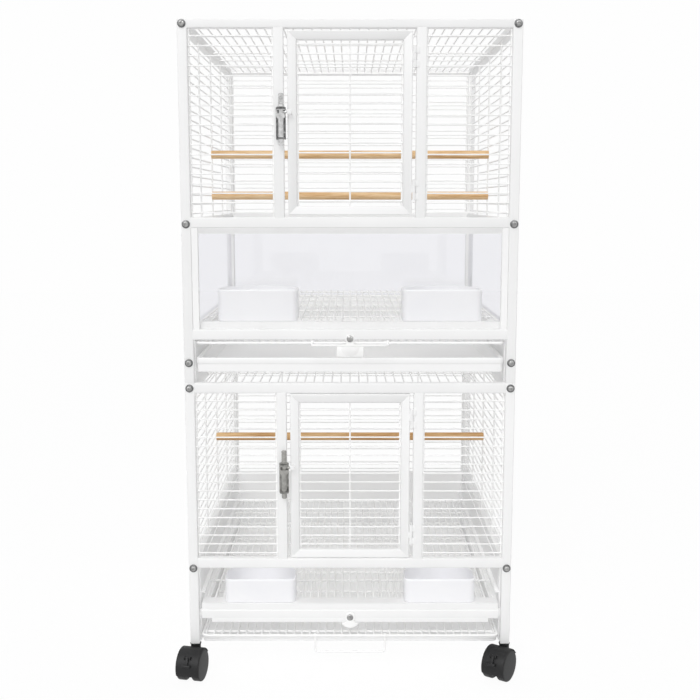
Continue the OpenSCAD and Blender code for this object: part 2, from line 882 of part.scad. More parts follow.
module cup(x, y, z, w, h) {
    translate([x, y, z]) difference() {
        linear_extrude(h) cup_outline(w, cup_d, 9);
        translate([0, cup_t, cup_t]) linear_extrude(h)
            cup_outline(w - 2 * cup_t, cup_d - 2 * cup_t, 9 - cup_t);
    }
}

upper_cup_y = inner_y0 + 2;
lower_cup_y = front_y + 3;

module upper_cup_left() {
    color("ghostwhite") cup(-cup_x, upper_cup_y, upper_z + upper_floor + seat_gap,
        upper_cup_w, upper_cup_h);
}

module upper_cup_right() {
    color("ghostwhite") cup(cup_x, upper_cup_y, upper_z + upper_floor + seat_gap,
        upper_cup_w, upper_cup_h);
}

module lower_cup_left() {
    color("ghostwhite") cup(-cup_x, lower_cup_y, lower_z + lower_floor + seat_gap,
        lower_cup_w, lower_cup_h);
}

module lower_cup_right() {
    color("ghostwhite") cup(cup_x, lower_cup_y, lower_z + lower_floor + seat_gap,
        lower_cup_w, lower_cup_h);
}

// Clear splash guards that stand behind the upper cups
module upper_cup_guards() {
    y = upper_cup_y + cup_d + 3;
    half = upper_cup_w / 2 - 5;
    wing = 22;
    z = upper_z + upper_floor;
    color("aliceblue", 0.35) for (side = [-1, 1]) translate([side * cup_x, 0, 0]) {
        block(-half, half, y, y + 2, z, z + upper_cup_h + 11);
        for (x = [-half, half - 2])
            block(x, x + 2, y, y + wing, z, z + upper_cup_h + 11);
    }
}

// Frame bolts from one face, their washers and their domed heads
module frame_bolts(z0, heights) {
    for (side = [-1, 1], z = heights, face = [0, 1])
        mirror([0, face, 0]) translate([side * stem_x, front_y, z0 + z]) rotate([90, 0, 0]) {
            cylinder(h = washer_t, d = washer_d, $fn = 48);
            translate([0, 0, washer_t]) difference() {
                cylinder(h = bolt_head_h, d = bolt_head_d, $fn = 48);
                translate([0, 0, 1]) cylinder(h = bolt_head_h, d = 3.4, $fn = 6);
            }
            translate([0, 0, -tube - bolt_grip + 1])
                cylinder(h = tube + bolt_grip - 0.5, d = bolt_d, $fn = 32);
        }
}

module upper_bolts() {
    color("gray") frame_bolts(upper_z, upper_bolt_z);
}

module lower_bolts() {
    color("gray") {
        frame_bolts(lower_z, lower_bolt_z);
        turn_screw(lower_screw_z, 12);
    }
}

// Stems in the four feet
module caster_stems() {
    color("dimgray") for (x = [-1, 1], y = [-1, 1])
        translate([x * stem_x, y * stem_y, caster_h - stem_in_collar])
            cylinder(h = stem_in_collar + stem_in_post, d = stem_d - 0.02, $fn = 48);
}

// Puts a caster under its post: side and end are -1 or 1
module at_post(side, end) {
    translate([side * stem_x, end * stem_y, 0])
        rotate([0, 0, -(side == end ? left_yaw : right_yaw) + (end > 0 ? 180 : 0)])
            children();
}

// A disc across the wheel axis, from x0 to x1
module disc(x0, x1, d) {
    translate([x0, -trail, wheel_r])
        rotate([0, 90, 0]) cylinder(h = x1 - x0, d = d, $fn = 96);
}

// Puts a brake piece at its pivot on the hood, leaning with the hood's curve
module at_brake() {
    translate([0, -trail, wheel_r])
        rotate([-brake_lean, 0, 0])
            translate([0, brake_y, brake_z]) children();
}

// Hood, web and collar over the two wheels, with the axle pin and the brake's lugs
module caster_housing() {
    half = caster_w / 2;
    inner_d = 2 * (hood_r - hood_t);
    rear = -trail + hood_r + 9;
    difference() {
        union() {
            difference() {
                union() {
                    disc(-half, half, 2 * hood_r);
                    translate([0, 0, wheel_r + 12])
                        cylinder(h = collar_top - wheel_r - 12, d = collar_d - 1.4, $fn = 64);
                    translate([0, 0, collar_top - 1.6])
                        cylinder(h = 1.6, d = collar_d, $fn = 64);
                    at_brake()
                        for (x = [-5, 3]) block(x, x + 2, -2.4, 6, -2.4, 2.4);
                }
                disc(-half - 1, -web_t / 2, inner_d);
                disc(web_t / 2, half + 1, inner_d);
                block(-half - 1, half + 1, -trail - hood_r - 1, rear, -10, skirt_z);
                block(-half - 1, half + 1, -trail + 6, rear, -10, wheel_r + 4);
                block(-half - 1, -web_t / 2, -trail + 6, rear, -10, wheel_r + 13);
                block(web_t / 2, half + 1, -trail + 6, rear, -10, wheel_r + 13);
            }
            disc(-half + 1, half - 1, axle_d);
            at_brake()
                translate([-5, 0, 0]) rotate([0, 90, 0]) cylinder(h = 10, d = 2, $fn = 32);
        }
        translate([0, 0, caster_h - stem_in_collar - seat_gap])
            cylinder(h = stem_in_collar + 1, d = stem_d + 2 * pin_gap, $fn = 64);
    }
}

// Both wheels with a ring groove in the outer face
module caster_wheels() {
    for (side = [0, 1]) mirror([side, 0, 0]) difference() {
        disc(web_t / 2 + wheel_gap, web_t / 2 + wheel_gap + wheel_w, wheel_d);
        disc(web_t / 2, caster_w / 2 - 1 + seat_gap, axle_d + 2 * pin_gap);
        difference() {
            disc(caster_w / 2 - 0.8, caster_w / 2 + 1, wheel_d - 5);
            disc(caster_w / 2 - 1, caster_w / 2 + 2, wheel_d - 7);
        }
    }
}

// T-shaped brake tab on the hood
module caster_brake() {
    at_brake() difference() {
        union() {
            rotate([0, 90, 0]) translate([0, 0, -2.7]) cylinder(h = 5.4, d = 4.4, $fn = 48);
            block(-2, 2, -1.8, 1, -9.5, 0);
            block(-brake_w / 2, brake_w / 2, -3.6, 1, -13.5, -9.5);
        }
        rotate([0, 90, 0]) translate([0, 0, -4])
            cylinder(h = 8, d = 2 + 2 * pin_gap, $fn = 48);
    }
}

module caster_housing_fl() {
    color("#2b2b2b") at_post(-1, -1) caster_housing();
}

module caster_housing_fr() {
    color("#2b2b2b") at_post(1, -1) caster_housing();
}

module caster_housing_bl() {
    color("#2b2b2b") at_post(-1, 1) caster_housing();
}

module caster_housing_br() {
    color("#2b2b2b") at_post(1, 1) caster_housing();
}

module caster_wheels_fl() {
    color("#3a3a3a") at_post(-1, -1) caster_wheels();
}

module caster_wheels_fr() {
    color("#3a3a3a") at_post(1, -1) caster_wheels();
}

module caster_wheels_bl() {
    color("#3a3a3a") at_post(-1, 1) caster_wheels();
}

module caster_wheels_br() {
    color("#3a3a3a") at_post(1, 1) caster_wheels();
}

module caster_brake_fl() {
    color("#262626") at_post(-1, -1) caster_brake();
}

module caster_brake_fr() {
    color("#262626") at_post(1, -1) caster_brake();
}

module caster_brake_bl() {
    color("#262626") at_post(-1, 1) caster_brake();
}

module caster_brake_br() {
    color("#262626") at_post(1, 1) caster_brake();
}

upper_front_frame();
upper_back_frame();
upper_side_frames();
upper_front_mesh();
upper_back_mesh();
upper_side_meshes();
upper_top_mesh();
upper_door_frame();
upper_door_mesh();
upper_door_hinges();
upper_latch_bracket();
upper_latch_rod();
upper_perches();
upper_front_window();
upper_fixed_windows();
upper_window_channels();
upper_floor_grate();
upper_pull_grate();
upper_grate_handle();
upper_turn_plate();
upper_turn_screw();
upper_tray();
upper_cup_left();
upper_cup_right();
upper_cup_guards();
upper_bolts();
lower_front_frame();
lower_back_frame();
lower_side_frames();
lower_front_mesh();
lower_back_mesh();
lower_side_meshes();
lower_top_mesh();
lower_door_frame();
lower_door_mesh();
lower_door_hinges();
lower_latch_bracket();
lower_latch_rod();
lower_perch();
lower_floor_grate();
lower_pull_grate();
lower_grate_handle();
lower_turn_plate();
lower_tray();
lower_cup_left();
lower_cup_right();
lower_bolts();
caster_stems();
caster_housing_fl();
caster_housing_fr();
caster_housing_bl();
caster_housing_br();
caster_wheels_fl();
caster_wheels_fr();
caster_wheels_bl();
caster_wheels_br();
caster_brake_fl();
caster_brake_fr();
caster_brake_bl();
caster_brake_br();
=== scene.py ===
"""Dresses the two-storey bird cage: finishes, detailed pieces, light and camera."""

from math import acos, asin, cos, pi, radians, sin, sqrt, tan

import bpy
import numpy as np
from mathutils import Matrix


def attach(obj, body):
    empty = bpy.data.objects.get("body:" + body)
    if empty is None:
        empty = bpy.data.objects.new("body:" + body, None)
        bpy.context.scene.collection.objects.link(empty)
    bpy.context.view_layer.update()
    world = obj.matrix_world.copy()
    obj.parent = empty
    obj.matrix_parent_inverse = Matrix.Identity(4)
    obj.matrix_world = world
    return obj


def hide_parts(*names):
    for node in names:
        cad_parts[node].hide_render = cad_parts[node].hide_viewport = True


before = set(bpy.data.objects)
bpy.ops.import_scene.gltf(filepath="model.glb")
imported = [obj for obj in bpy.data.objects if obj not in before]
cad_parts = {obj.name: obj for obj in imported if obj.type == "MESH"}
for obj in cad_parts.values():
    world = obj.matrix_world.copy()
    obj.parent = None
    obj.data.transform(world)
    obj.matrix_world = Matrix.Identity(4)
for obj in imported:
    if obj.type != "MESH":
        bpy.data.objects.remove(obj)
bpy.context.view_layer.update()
MM = 0.001


# Node helpers
def linear(code, alpha=1.0):
    """An sRGB hex colour as linear light: each channel through the sRGB curve."""
    channels = [int(code[i : i + 2], 16) / 255 for i in (1, 3, 5)]
    curve = [c / 12.92 if c <= 0.04045 else ((c + 0.055) / 1.055) ** 2.4 for c in channels]
    return (*curve, alpha)


def add(tree, kind, inputs=None, stops=(), **settings):
    """Adds one shader node; an input is either a value or the socket that feeds it, and stops are
    the (position, hex) pairs of a colour ramp."""
    node = tree.nodes.new("ShaderNode" + kind)
    if stops:
        marks = node.color_ramp.elements
        for k, (place, code) in enumerate(stops):
            mark = marks[k] if k < 2 else marks.new(place)
            mark.position, mark.color = place, linear(code)
    for name, value in settings.items():
        setattr(node, name, value)
    for name, value in (inputs or {}).items():
        if isinstance(value, bpy.types.NodeSocket):
            tree.links.new(value, node.inputs[name])
        else:
            node.inputs[name].default_value = value
    return node


def new_material(name):
    """An empty node material and its node tree."""
    material = bpy.data.materials.new(name)
    material.use_nodes = True
    material.node_tree.nodes.clear()
    return material, material.node_tree


# Materials
def opaque(tree, tint, tones, relief, strength, depth, inputs):
    """Closes an opaque surface: the tint picks between the tones, the relief lifts the surface by
    up to its depth in metres, and the inputs go to the shader as they are."""
    tone = add(tree, "ValToRGB", {"Fac": tint}, stops=tones)
    bump = add(tree, "Bump", {"Height": relief, "Strength": strength, "Distance": depth})
    body = add(tree, "BsdfPrincipled", {"Base Color": tone.outputs["Color"],
                                        "Normal": bump.outputs["Normal"], **inputs})
    add(tree, "OutputMaterial", {"Surface": body.outputs["BSDF"]})


def powder_coat(name, pale, deep, roughness, peel):
    """Polyester powder coat baked on steel: satin, with a soft orange peel and pale pooling."""
    material, tree = new_material(name)
    place = add(tree, "TexCoord").outputs["Object"]
    # tone drifts by a few per cent over about 60 mm, as thick and thin coat does
    drift = add(tree, "TexNoise", {"Vector": place, "Scale": 17, "Detail": 2}).outputs["Fac"]
    # orange peel: dimples about 1.6 mm across
    dimples = add(tree, "TexNoise", {"Vector": place, "Scale": 620, "Detail": 1}).outputs["Fac"]
    sheen = add(tree, "MapRange", {"Value": drift, "To Min": roughness, "To Max": roughness + 0.1})
    opaque(tree, drift, [(0.3, deep), (0.7, pale)], dimples, peel, 0.0002,
           {"Roughness": sheen.outputs["Result"], "IOR": 1.5})
    return material


def moulded(name, pale, deep, roughness, grain, ior=1.49):
    """Injection-moulded plastic: a faint tone that flows over some 40 mm and a spark-eroded grain
    of so many spots to the metre, drawn coarse enough to show."""
    material, tree = new_material(name)
    place = add(tree, "TexCoord").outputs["Object"]
    flow = add(tree, "TexNoise", {"Vector": place, "Scale": 25, "Detail": 3, "Distortion": 0.6})
    spark = add(tree, "TexNoise", {"Vector": place, "Scale": grain, "Detail": 2}).outputs["Fac"]
    sheen = add(tree, "MapRange", {"Value": spark, "To Min": roughness - 0.06,
                                   "To Max": roughness + 0.08})
    opaque(tree, flow.outputs["Fac"], [(0.3, deep), (0.7, pale)], spark, 0.25, 0.00015,
           {"Roughness": sheen.outputs["Result"], "IOR": ior})
    return material


def plated(name, pale, deep, roughness, fineness):
    """Plated metal: tone in clouds about 6 mm across and polishing lines along Z, so many to the
    metre, drawn coarse enough to show."""
    material, tree = new_material(name)
    place = add(tree, "TexCoord").outputs["Object"]
    lines = add(tree, "Mapping", {"Vector": place, "Scale": (1, 1, 0.06)}).outputs["Vector"]
    polish = add(tree, "TexNoise", {"Vector": lines, "Scale": fineness, "Detail": 2}).outputs["Fac"]
    cloud = add(tree, "TexNoise", {"Vector": place, "Scale": 180, "Detail": 2}).outputs["Fac"]
    sheen = add(tree, "MapRange", {"Value": polish, "To Min": roughness - 0.05,
                                   "To Max": roughness + 0.12})
    opaque(tree, cloud, [(0.3, deep), (0.7, pale)], polish, 0.2, 0.0001,
           {"Roughness": sheen.outputs["Result"], "Metallic": 1.0})
    return material


def acrylic(name, tint, haze):
    """Cast acrylic sheet: clear, faintly tinted, with a light haze of wiping marks."""
    material, tree = new_material(name)
    place = add(tree, "TexCoord").outputs["Object"]
    # wiping marks, about 33 mm from one to the next
    wipes = add(tree, "TexNoise", {"Vector": place, "Scale": 30, "Detail": 4, "Distortion": 1.5})
    veil = add(tree, "MapRange", {"Value": wipes.outputs["Fac"], "From Min": 0.35, "From Max": 0.75,
                                  "To Min": haze * 0.6, "To Max": haze * 1.4})
    clear = add(tree, "BsdfTransparent", {"Color": linear(tint)})
    # each face mirrors 4 per cent of the light, as any plastic of IOR 1.49 does face on
    gloss = add(tree, "BsdfGlossy", {"Color": (1, 1, 1, 1), "Roughness": 0.03})
    milky = add(tree, "BsdfDiffuse", {"Color": linear("#FAFAFB")})
    through = add(tree, "MixShader", {0: veil.outputs["Result"], 1: clear.outputs["BSDF"],
                                      2: milky.outputs["BSDF"]})
    panel_face = add(tree, "MixShader", {0: 0.04, 1: through.outputs["Shader"],
                                         2: gloss.outputs["BSDF"]})
    add(tree, "OutputMaterial", {"Surface": panel_face.outputs["Shader"]})
    return material


def dowel(name, pale, deep, dark):
    """Turned hardwood dowel: long fibres along X, short darker flecks, bare and sanded."""
    material, tree = new_material(name)
    place = add(tree, "TexCoord").outputs["Object"]
    along = add(tree, "Mapping", {"Vector": place, "Scale": (0.05, 1, 1)}).outputs["Vector"]
    # fibres 1.1 mm apart and some 22 mm long, drawn coarse enough to show
    fibre = add(tree, "TexNoise", {"Vector": along, "Scale": 900, "Detail": 4, "Roughness": 0.6})
    # growth rings about 7 mm apart
    band = add(tree, "TexNoise", {"Vector": along, "Scale": 150, "Detail": 2, "Distortion": 0.8})
    both = add(tree, "Math", {0: fibre.outputs["Fac"], 1: band.outputs["Fac"]}, operation="ADD")
    half = add(tree, "Math", {0: both.outputs["Value"], 1: 0.5}, operation="MULTIPLY")
    opaque(tree, half.outputs["Value"], [(0.33, dark), (0.48, deep), (0.62, pale)],
           fibre.outputs["Fac"], 0.3, 0.0002, {"Roughness": 0.62, "IOR": 1.45})
    return material


frame_coat = powder_coat("powder coated steel tube", "#F2F2F2", "#EFEFEF", 0.42, 0.12)
wire_coat = powder_coat("powder coated wire", "#FAFAFA", "#F6F6F5", 0.46, 0.05)
tray_enamel = powder_coat("baked enamel sheet", "#F4F4F4", "#F2F2F2", 0.3, 0.04)
channel_pvc = moulded("extruded white PVC", "#F7F7F7", "#F3F3F3", 0.35, 900)
cup_plastic = moulded("moulded polypropylene", "#F7F7F9", "#F4F4F7", 0.36, 1200)
clear_front = acrylic("cast acrylic front sheet", "#FEFEFE", 0.008)
clear_side = acrylic("cast acrylic side sheet", "#F8F8FA", 0.02)
wood = dowel("bare birch dowel", "#EFD1A8", "#E2BC8D", "#C39159")
wood_low = dowel("bare birch dowel, lower", "#DFBA8A", "#CC9F6B", "#A97640")
zinc = plated("zinc plated steel", "#B9B9B8", "#8C8C8C", 0.3, 2200)
zinc_dark = plated("dull zinc plated steel", "#8A8A8A", "#5E5F60", 0.42, 2000)
chrome = plated("chrome plated steel", "#DEDEDE", "#B8B8B8", 0.16, 1800)
# the pressing is a darker copy of the chrome: a painted dark reflection of the surroundings
# mirrored in it
chrome_pressing_painted_reflection = plated("chrome plated pressing", "#8A8A8A", "#464647", 0.2, 1800)
die_cast = plated("die-cast zinc alloy", "#B4B3B0", "#949390", 0.45, 1500)
# the pressing is a darker copy of the die-cast alloy: painted shade that sets the bracket off from
# the rod
die_pressing_painted_shade = plated("zinc alloy pressing", "#A09F9C", "#70706E", 0.4, 1500)
nylon_black = moulded("glass-filled nylon", "#161618", "#0E0E0F", 0.55, 1500, ior=1.42)
wheel_black = moulded("moulded polyurethane tread", "#1A1A1C", "#121213", 0.5, 1300, ior=1.42)

# a CAD node takes the finish of the first words found in its name, or else the frame's coat
NODE_FINISH = {
    "cup_guards": clear_front, "front_window": clear_front, "fixed_windows": clear_side,
    "window_channels": channel_pvc, "cup_": cup_plastic, "tray": tray_enamel,
    "upper_perches": wood, "lower_perch": wood_low,
    "bolts": zinc, "turn_screw": zinc, "stems": zinc,
    "upper_latch_rod": chrome, "upper_latch_bracket": chrome_pressing_painted_reflection,
    "lower_latch_rod": die_cast, "lower_latch_bracket": die_pressing_painted_shade,
    "mesh": wire_coat, "grate": wire_coat, "turn_plate": wire_coat,
    "caster_wheels": wheel_black, "caster": nylon_black}
for name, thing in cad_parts.items():
    finish = next((NODE_FINISH[words] for words in NODE_FINISH if words in name), frame_coat)
    thing.data.materials.clear()
    thing.data.materials.append(finish)


# Surfaces
CREASE = radians(38)


def skin(points, wrap_rows=False):
    """Faces of grids shaped (copies, rows, columns, 3): a quad between neighbours, the columns
    closed in a ring, and each end ring filled. Turned round where the volume is negative. A grid
    without copies is one copy."""
    points = np.array(points)
    points = points.reshape(-1, *points.shape[-3:])
    copies, rows, columns = points.shape[:3]
    at = np.arange(copies * rows * columns).reshape(copies, rows, columns)
    low = at if wrap_rows else at[:, :-1]
    high = np.roll(at, -1, axis=1) if wrap_rows else at[:, 1:]
    quads = np.stack([low, np.roll(low, -1, 2), np.roll(high, -1, 2), high], -1).reshape(-1, 4)
    faces = [quads]
    if not wrap_rows:
        faces += [at[:, 0, ::-1], at[:, -1]]
    flat = points.reshape(-1, 3)
    middle = points[0].reshape(-1, 3).mean(0)
    mine = quads[: len(quads) // copies]
    a, b, c, d = (flat[mine[:, i]] - middle for i in range(4))
    if (a * (np.cross(b, c) + np.cross(c, d))).sum() < 0:
        faces = [f[:, ::-1] for f in faces]
    return flat, faces


def new_object(name, data):
    """An object of this name and data in the scene."""
    thing = bpy.data.objects.new(name, data)
    bpy.context.scene.collection.objects.link(thing)
    return thing


def piece(name, blocks, material, body, stands_for=()):
    """One object from blocks of (points in mm, faces), smooth except at edges past CREASE. It
    rides its body, replaces the CAD nodes it stands for and takes the slot of its finish."""
    points, faces, start = [], [], 0
    for block_points, block_faces in blocks:
        points.append(block_points)
        faces += [f + start for f in block_faces]
        start += len(block_points)
    points = np.concatenate(points) * MM
    corners = np.concatenate([f.ravel() for f in faces])
    sides = np.concatenate([np.full(len(f), f.shape[1]) for f in faces])
    data = bpy.data.meshes.new(name)
    data.vertices.add(len(points))
    data.vertices.foreach_set("co", points.astype(np.float32).ravel())
    data.loops.add(len(corners))
    data.loops.foreach_set("vertex_index", corners.astype(np.int32))
    data.polygons.add(len(sides))
    data.polygons.foreach_set("loop_start", (np.cumsum(sides) - sides).astype(np.int32))
    data.polygons.foreach_set("loop_total", sides.astype(np.int32))
    data.update(calc_edges=True)
    data.polygons.foreach_set("use_smooth", np.ones(len(sides), bool))
    data.set_sharp_from_angle(angle=CREASE)
    data.materials.append(material)
    thing = new_object(name, data)
    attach(thing, body)
    if stands_for:
        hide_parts(*stands_for)


def ring(count):
    """Angles round a circle."""
    return np.arange(count) * 2 * pi / count


def frame_of(way):
    """Unit vector along `way` and two unit vectors square to it."""
    way = np.array(way, float)
    way = way / np.linalg.norm(way)
    side = np.cross(way, (0, 0, 1) if abs(way[2]) < 0.9 else (1, 0, 0))
    side = side / np.linalg.norm(side)
    return way, side, np.cross(way, side)


def round_section(way, sides):
    """Unit vector along `way` and a unit circle square to it."""
    way, side, up = frame_of(way)
    angle = ring(sides)
    return way, np.cos(angle)[:, None] * side + np.sin(angle)[:, None] * up


def rods(starts, way, length, radius, welds):
    """Straight parallel wires: a circle carried along `way`, rounded over at its ends and
    swollen by an eighth where a crossing wire is welded on."""
    way, circle = round_section(way, 10)
    steps = [(0, 0.55), (0.25 * radius, 0.85), (0.8 * radius, 1)]
    for weld in welds:
        if 3 * radius < weld < length - 3 * radius:
            steps += [(weld - 1.9 * radius, 1), (weld - 0.8 * radius, 1.13),
                      (weld + 0.8 * radius, 1.13), (weld + 1.9 * radius, 1)]
    steps += [(length - 0.8 * radius, 1), (length - 0.25 * radius, 0.85), (length, 0.55)]
    place, swell = np.array(sorted(steps)).T
    one = place[:, None, None] * way + swell[:, None, None] * (radius * circle)
    return skin(np.array(starts, float)[:, None, None, :] + one)


def rounded_outline(width, depth, radius, steps=5):
    """Rounded rectangle about the origin: four quarter circles joined by straights."""
    radius = max(radius, 0.05)
    turn = np.linspace(0, pi / 2, steps)
    corners = []
    for k, (sx, sy) in enumerate([(1, 1), (-1, 1), (-1, -1), (1, -1)]):
        angle = turn + k * pi / 2
        corners.append(np.stack([sx * (width / 2 - radius) + radius * np.cos(angle),
                                 sy * (depth / 2 - radius) + radius * np.sin(angle)], 1))
    return np.concatenate(corners)


def bar(x0, x1, y0, y1, z0, z1, corner=1.5, edge=0.5):
    """Drawn tube or sheet: a rounded rectangle carried along its longest side, drawn in along a
    quarter circle at both ends."""
    low, high = np.array([x0, y0, z0], float), np.array([x1, y1, z1], float)
    size = high - low
    axis = int(np.argmax(size))
    others = [i for i in range(3) if i != axis]
    thin = size[others].min()
    corner, edge = min(corner, thin * 0.45), min(edge, thin * 0.3)
    angle = np.linspace(0, pi / 2, 4)
    inset = edge * (1 - np.sin(angle))
    place = edge * (1 - np.cos(angle))
    inset = np.concatenate([inset, inset[::-1]])
    place = np.concatenate([place, size[axis] - place[::-1]])
    rings = np.zeros((len(place), 20, 3))
    for k, (i, p) in enumerate(zip(inset, place)):
        outline = rounded_outline(*(size[others] - 2 * i), corner - i * 0.5)
        rings[k, :, others] = outline.T + (size[others] / 2)[:, None]
        rings[k, :, axis] = p
    return skin(rings + low)


def turned(profile, place, way, sides):
    """Lathe work: (distance along, radius) pairs turned about `way` from `place`."""
    way, circle = round_section(way, sides)
    along, radius = np.array(profile, float).T
    rings = along[:, None, None] * way + radius[:, None, None] * circle
    return skin(rings + np.array(place, float))


def rounded_path(points, radius):
    """Straight legs between points with each corner turned on a circle of `radius`."""
    points = [np.array(p, float) for p in points]
    path = [points[0]]
    for before, corner, after in zip(points, points[1:], points[2:]):
        u, v = before - corner, after - corner
        lu, lv = np.linalg.norm(u), np.linalg.norm(v)
        u, v = u / lu, v / lv
        half = acos(np.clip(u @ v, -1, 1)) / 2
        back = min(radius / tan(half), lu * 0.49, lv * 0.49)
        r = back * tan(half)
        centre = corner + (u + v) / np.linalg.norm(u + v) * (r / sin(half))
        a, b = corner + u * back - centre, corner + v * back - centre
        span = acos(np.clip(a @ b / r / r, -1, 1))
        for t in np.linspace(0, 1, 7):
            path.append(centre + (sin((1 - t) * span) * a + sin(t * span) * b)
                        / sin(span))
    return np.array(path + [points[-1]])


def bent(path, radius, sides, closed=False):
    """Bent wire: a circle carried along a path, square to it at each point."""
    path = np.array(path, float)
    if closed:
        way = np.roll(path, -1, 0) - np.roll(path, 1, 0)
    else:
        way = np.gradient(path, axis=0)
    way /= np.linalg.norm(way, axis=1)[:, None]
    side = np.zeros_like(way)
    reference = frame_of(way[0])[1]
    for k, w in enumerate(way):
        reference = reference - w * (reference @ w)
        reference /= np.linalg.norm(reference)
        side[k] = reference
    up = np.cross(way, side)
    angle = ring(sides)
    rings = path[:, None] + radius * (np.cos(angle)[None, :, None] * side[:, None]
                                      + np.sin(angle)[None, :, None] * up[:, None])
    return skin(rings, wrap_rows=closed)


def vessel(outline, steps):
    """Thin-walled pot: one outline per (inset, height), outside up, over the rim, inside down."""
    return skin([np.insert(outline(inset), 2, height, axis=1) for inset, height in steps])


def moved(block, shift, turn=0.0):
    """A block turned about Z and then shifted."""
    points, faces = block
    c, s = cos(turn), sin(turn)
    spin = np.array([[c, -s, 0], [s, c, 0], [0, 0, 1]])
    return points @ spin.T + np.array(shift, float), faces


def mirrored(block):
    """A block in the mirror across the middle plane, its faces turned to point outwards."""
    points, faces = block
    return points * (-1, 1, 1), [f[:, ::-1] for f in faces]


def both_sides(block):
    """A block and its mirror image across the middle plane."""
    return [block, mirrored(block)]


def sheet(*box):
    """Bent or flat sheet steel with eased edges."""
    return bar(*box, 0.6, 0.3)


X, Y, Z = (1, 0, 0), (0, 1, 0), (0, 0, 1)
LEFT, AHEAD, DOWN = (-1, 0, 0), (0, -1, 0), (0, 0, -1)

# Sizes in mm
HALF, FRONT, BACK, TUBE = 225.0, -265.0, 265.0, 13.0
INNER, POST = HALF - TUBE, HALF - TUBE / 2
INNER_FRONT, INNER_BACK = FRONT + TUBE, BACK - TUBE
RAIL, TOP_RAIL, SHEET, LEDGE = 14.0, 11.0, 1.5, 12.0
MULLION = (87.0, 100.5)
# half widths of the folded sills, and the lower edge of the rail over the lower drawers
UPPER_SILL, LOWER_SILL, DRAWER_RAIL = 203.7, 208.2, 85.5
# a butted tube runs BUTT into its neighbour and stays SEAM inside its faces
BUTT, SEAM = 0.8, 0.15
WIRE, CROSS, WELD, PITCH, CROSS_PITCH = 1.0, 1.2, 0.3, 12.7, 127.0
FLOOR_W, FLOOR_WIRE, FLOOR_CROSS, FLOOR_PITCH, FLOOR_CROSS_PITCH = 418.0, 1.2, 1.5, 11.3, 85.0
# heights: the feet and tops of the cages, the lower edges of their rails, the tops of their floors
LOWER, LOWER_FLOOR, LOWER_SIDE_MID, LOWER_MID, LOWER_TOP = 48.5, 107.5, 152.5, 159.5, 421.5
UPPER, UPPER_SKIRT, UPPER_LOW, UPPER_FLOOR = LOWER_TOP, 442.5, 481.0, 504.5
UPPER_SIDE_MID, UPPER_MID, UPPER_TOP = 629.5, 631.5, 900.5
LOWER_EAVE, UPPER_EAVE = LOWER_TOP - RAIL, UPPER_TOP - TOP_RAIL
# from the top of a wire floor down to its ledge
UNDER_FLOOR = 2 * (FLOOR_WIRE + FLOOR_CROSS) - WELD
LOWER_GRATE, UPPER_GRATE = 61.5, 476.5
LOWER_TRAY_LEDGE, UPPER_TRAY_LEDGE = 50.0, 436.7
# doors: half width, tube, and the lower and upper edge with the gap to the rails
DOOR, DOOR_TUBE, DOOR_DEEP = 82.0, 12.0, 10.0
LOWER_DOOR = (LOWER_MID + RAIL + 1.2, LOWER_EAVE - 1.2)
UPPER_DOOR = (UPPER_MID + RAIL + 3, UPPER_EAVE - 3)


# Frames
def rail(low):
    """The lower and the upper edge of a rail."""
    return low, low + RAIL


def sill_sheet(z, y0, half):
    """Folded sill: a flat leg that carries the cups and a lip that hangs in front of it."""
    return [sheet(-half, half, y0, INNER_FRONT + LEDGE, z - SHEET, z),
            sheet(-half, half, y0, y0 + SHEET, z - 10, z - 0.2)]


def end_frame(y0, z0, rails):
    """Two posts up to the top rail and the rails between them, butt-welded to the posts."""
    blocks = both_sides(bar(INNER, HALF, y0, y0 + TUBE, z0, rails[-1][1]))
    reach = INNER + BUTT
    return blocks + [bar(-reach, reach, y0 + SEAM, y0 + TUBE - SEAM, *edges) for edges in rails]


def mullions(low, high):
    """The two uprights beside a door, butt-welded to the rails."""
    return both_sides(bar(*MULLION, FRONT + SEAM, INNER_FRONT - SEAM, low - BUTT, high + BUTT))


def drawer_rail(z, half):
    """Rail over the lower drawers, with a lip that hangs in front and a tongue into each post."""
    return [bar(-half, half, FRONT, INNER_FRONT, z, z + TUBE),
            sheet(14 - half, half - 14, FRONT, FRONT + SHEET, z - 5, z + 1),
            *both_sides(bar(206, 214.9, INNER_FRONT - 5, INNER_FRONT - 0.3, z + 0.5, z + 11.5))]


def back_skirt(low, high):
    """Sheet that closes the back from one rail's lower edge to another's, 1 mm above both."""
    return sheet(-INNER - 1, INNER + 1, INNER_BACK + 0.1, INNER_BACK + 0.1 + SHEET,
                 low + 1, high + 1)


def side_tubes(rails, skirt, ledges):
    """Rails front to back, the skirt sheet inside them and the ledges folded out of it, each with
    its top, its reach and its front end."""
    blocks = []
    for edges in rails:
        blocks += both_sides(bar(INNER + SEAM, HALF - SEAM, INNER_FRONT - BUTT, INNER_BACK + BUTT,
                                 *edges))
    blocks += both_sides(sheet(INNER - SHEET, INNER - 0.01, INNER_FRONT, INNER_BACK, *skirt))
    for top, reach, y0 in ledges:
        blocks += both_sides(sheet(INNER - reach, INNER - 0.8, y0, INNER_BACK - 0.2,
                                   top - SHEET, top))
    return blocks


